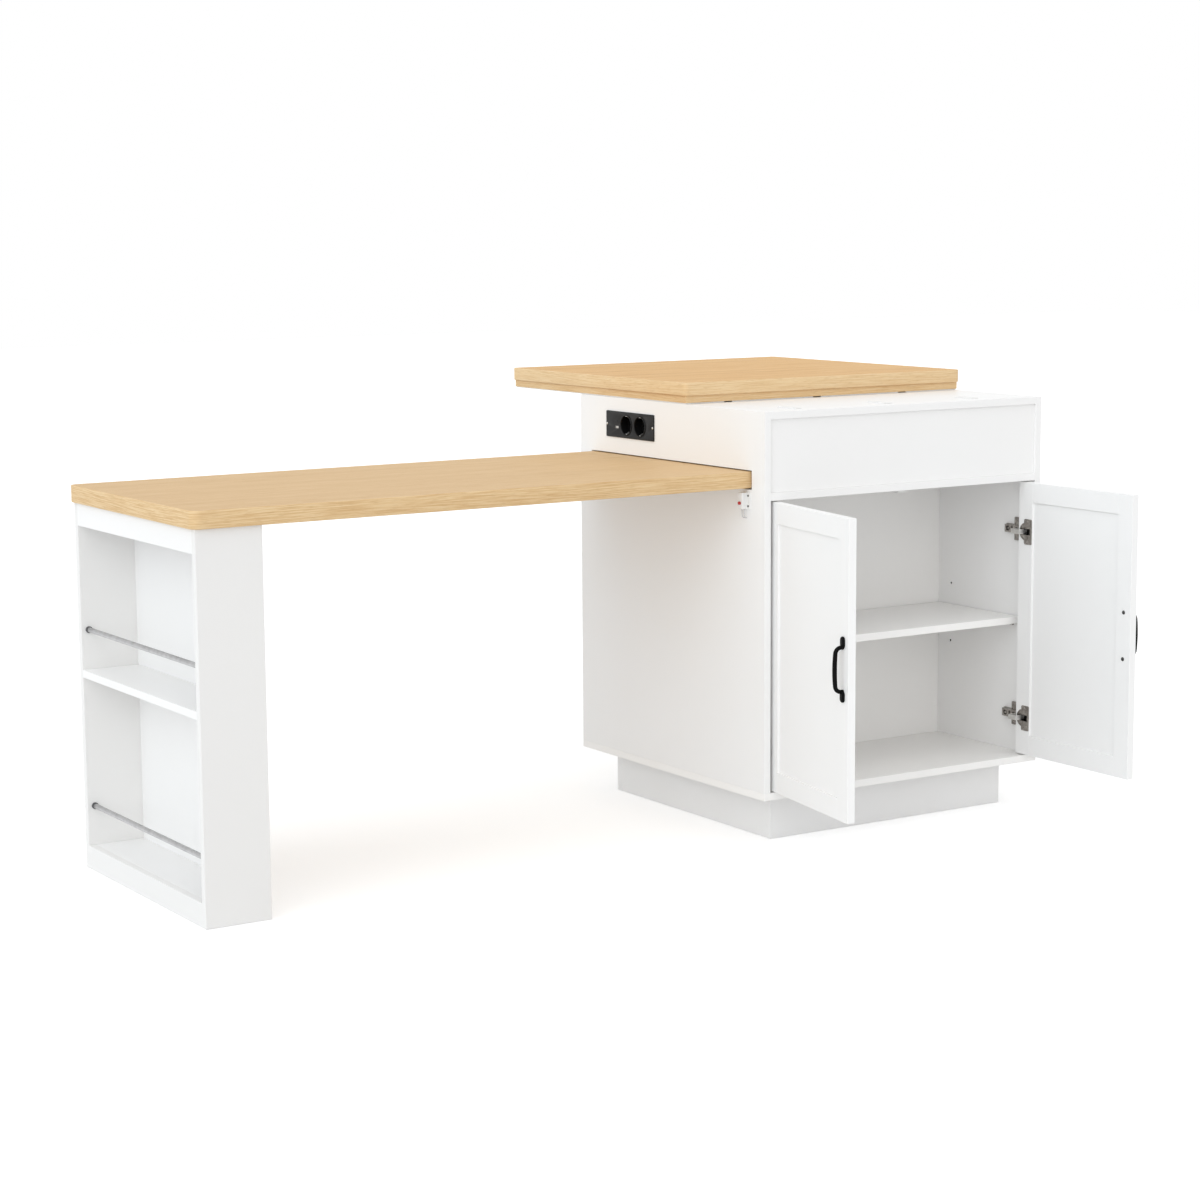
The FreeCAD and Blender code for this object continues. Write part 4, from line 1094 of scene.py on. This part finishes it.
def bow_line(face, crest):
    """Places along half the bow, as how far forward and how high above its middle, from foot to crest."""
    half = BOW_CENTRES / 2
    grip_end = half - BOW_BEND * (1 - math.sin(BOW_SWEEP))
    grip_arc = grip_end / math.sin(BOW_SWEEP)
    rise = crest + grip_arc * (1 - math.cos(BOW_SWEEP)) + BOW_BEND * math.cos(BOW_SWEEP)
    places = [(face, half)]
    for step in range(BEND_STEPS):
        turn = (math.pi / 2 - BOW_SWEEP) * step / BEND_STEPS
        places.append((rise - BOW_BEND * math.sin(turn), half - BOW_BEND * (1 - math.cos(turn))))
    for step in range(GRIP_STEPS + 1):
        turn = BOW_SWEEP * (1 - step / GRIP_STEPS)
        places.append((crest + grip_arc * (1 - math.cos(turn)), grip_arc * math.sin(turn)))
    return places


def bow_rings(middle, face, crest):
    """Rings along the whole bow, swelling towards the middle of the grip."""
    upper = bow_line(face, crest)
    line = [(y, -z) for y, z in upper] + upper[-2::-1]
    rings = []
    for spot, (y, z) in enumerate(line):
        before = line[max(spot - 1, 0)]
        after = line[min(spot + 1, len(line) - 1)]
        ahead = Vector((0, after[0] - before[0], after[1] - before[1])).normalized()
        across = ahead.cross(Vector((1, 0, 0)))
        swell = 1 - (2 * abs(z) / BOW_CENTRES) ** 2
        radius = ROOT_RADIUS + (GRIP_RADIUS - ROOT_RADIUS) * swell
        centre = Vector((middle.x, y, middle.z + z))
        rings.append([centre + Vector((u, 0, 0)) + across * v for u, v in circle(radius)])
    return rings


def foot_rings(middle, face, end, side):
    """Rings of one foot, from the door's face to its crowned top; end is the outer end's height."""
    low = (middle.x - FOOT_WIDTH / 2, min(end, end - side * FOOT_LENGTH))
    high = (middle.x + FOOT_WIDTH / 2, max(end, end - side * FOOT_LENGTH))
    rings = []
    for inset, height in FOOT_SECTION:
        outline = rounded_outline(low, high, (FOOT_WIDTH / 2 - FOOT_END_FLAT,) * 4, inset * FOOT_WIDTH / 2)
        rings.append([(x, face - height * FOOT_THICKNESS, z) for x, z in outline])
    return rings


powder_black = moulded(
    "powder_black", HANDLE_BLACK, HANDLE_WORN, gloss=0.44, grain_scale=1700.0, grain_depth=0.00006,
    specular=0.06)
for door in ("door_left", "door_right"):
    shut = shut_points(door + "_handle", door + "_hinge")[0]
    low = Vector(shut.min(axis=0))
    high = Vector(shut.max(axis=0))
    middle = (low + high) / 2
    rough = joined(door + "_bow_handle", [
        lofted("bow", bow_rings(middle, high.y, low.y + GRIP_RADIUS)),
        lofted("foot", foot_rings(middle, high.y, low.z, -1)),
        lofted("foot", foot_rings(middle, high.y, high.z, 1))])
    cast = baked(rough, "REMESH", mode="VOXEL", voxel_size=CASTING_GRAIN)
    cast = baked(cast, "SMOOTH", factor=SOFTENING, iterations=SOFTENING_STEPS)
    cast.transform(opened(door + "_hinge"))
    cast.shade_smooth()
    new_piece(door + "_bow_handle", cast, powder_black, "black_metal", door, door + "_handle")
    screws = door + "_screws"
    long_seats = [seat for seat in screw_seats(screws) if seat[2]["Shank Length"] > CUP_SCREW_LONGEST]
    driven_screws(door + "_handle_screws", long_seats, dark_steel, "dark_steel", door, screws)


# Studio: a plain white floor that keeps the shadow, an even white surround and three broad soft lights.
# The camera stands in front of the cabinet's left side, a little above the worktop.

FLOOR_REACH = 40.0
FLOOR_DROP = 0.0005
FLOOR_BOUNCE = (0.80, 0.80, 0.80, 1)
FLOOR_SEEN = (0.78, 0.78, 0.78, 1)
FLOOR_GLOW = 0.40
SURROUND_LEVEL = 0.70
LIGHT_SPREAD = 60
COOL_LIGHT = (0.80, 0.92, 1.0)
CAMERA_PLACE = (-3.45555, -4.58099, 1.26947)
CAMERA_PITCH = 8.29
CAMERA_YAW = 32.56
CAMERA_ROLL = -0.41
CAMERA_LENS = 80.108
CAMERA_SENSOR = 36.0


def seen_directly(tree):
    """One for rays from the camera, from gloss and through glass, nought for light on the object."""
    path = add(tree, "ShaderNodeLightPath").outputs
    seen = path["Is Camera Ray"]
    for kind in ("Is Glossy Ray", "Is Transmission Ray"):
        seen = add(tree, "ShaderNodeMath", {0: seen, 1: path[kind]}, operation="MAXIMUM").outputs[0]
    return seen


floor_mesh = bpy.data.meshes.new("floor")
half = FLOOR_REACH / 2
floor_outline = ((-half, -half), (half, -half), (half, half), (-half, half))
floor_mesh.from_pydata([(x, y, -FLOOR_DROP) for x, y in floor_outline], [], [(0, 1, 2, 3)])
floor = bpy.data.objects.new("floor", floor_mesh)
bpy.context.scene.collection.objects.link(floor)
floor_finish = bpy.data.materials.new("floor")
floor_finish.use_nodes = True
tree = floor_finish.node_tree
tree.nodes.clear()
bounce = add(tree, "ShaderNodeBsdfDiffuse", {"Color": FLOOR_BOUNCE})
seen = add(tree, "ShaderNodeBsdfDiffuse", {"Color": FLOOR_SEEN})
glow = add(tree, "ShaderNodeEmission", {"Strength": FLOOR_GLOW})
lit = add(tree, "ShaderNodeAddShader", {0: seen.outputs[0], 1: glow.outputs[0]})
chosen = add(tree, "ShaderNodeMixShader", {0: seen_directly(tree), 1: bounce.outputs[0], 2: lit.outputs[0]})
add(tree, "ShaderNodeOutputMaterial", {"Surface": chosen.outputs[0]})
floor_mesh.materials.append(floor_finish)

world = bpy.data.worlds.new("surround")
world.use_nodes = True
tree = world.node_tree
tree.nodes.clear()
level = ranged(tree, seen_directly(tree), SURROUND_LEVEL, 1.0)
background = add(tree, "ShaderNodeBackground", {"Color": (1, 1, 1, 1), "Strength": level})
add(tree, "ShaderNodeOutputWorld", {"Surface": background.outputs[0]})
bpy.context.scene.world = world


def soft_light(name, towards, strength, colour=(1, 1, 1)):
    """Far light of a wide spread, standing in the direction given."""
    lamp = bpy.data.lights.new(name, "SUN")
    lamp.energy = strength
    lamp.color = colour
    lamp.angle = math.radians(LIGHT_SPREAD)
    stand = bpy.data.objects.new(name, lamp)
    stand.rotation_euler = Vector(towards).to_track_quat("Z", "Y").to_euler()
    bpy.context.scene.collection.objects.link(stand)


soft_light("left_light", towards=(-0.9, -0.15, 0.45), strength=0.64, colour=COOL_LIGHT)
soft_light("front_light", towards=(-0.65, -0.7, 0.35), strength=0.80)
soft_light("top_light", towards=(0.0, -0.1, 1.0), strength=0.65)

camera = bpy.data.cameras.new("camera")
camera.lens = CAMERA_LENS
camera.sensor_width = CAMERA_SENSOR
holder = bpy.data.objects.new("camera", camera)
holder.location = CAMERA_PLACE
heading = Matrix.Rotation(math.radians(-CAMERA_YAW), 3, "Z")
tilt = Matrix.Rotation(math.radians(90 - CAMERA_PITCH), 3, "X")
roll = Matrix.Rotation(math.radians(CAMERA_ROLL), 3, "Z")
holder.rotation_euler = (heading @ tilt @ roll).to_euler()
bpy.context.scene.collection.objects.link(holder)
bpy.context.scene.camera = holder
bpy.context.scene.view_settings.view_transform = "Standard"
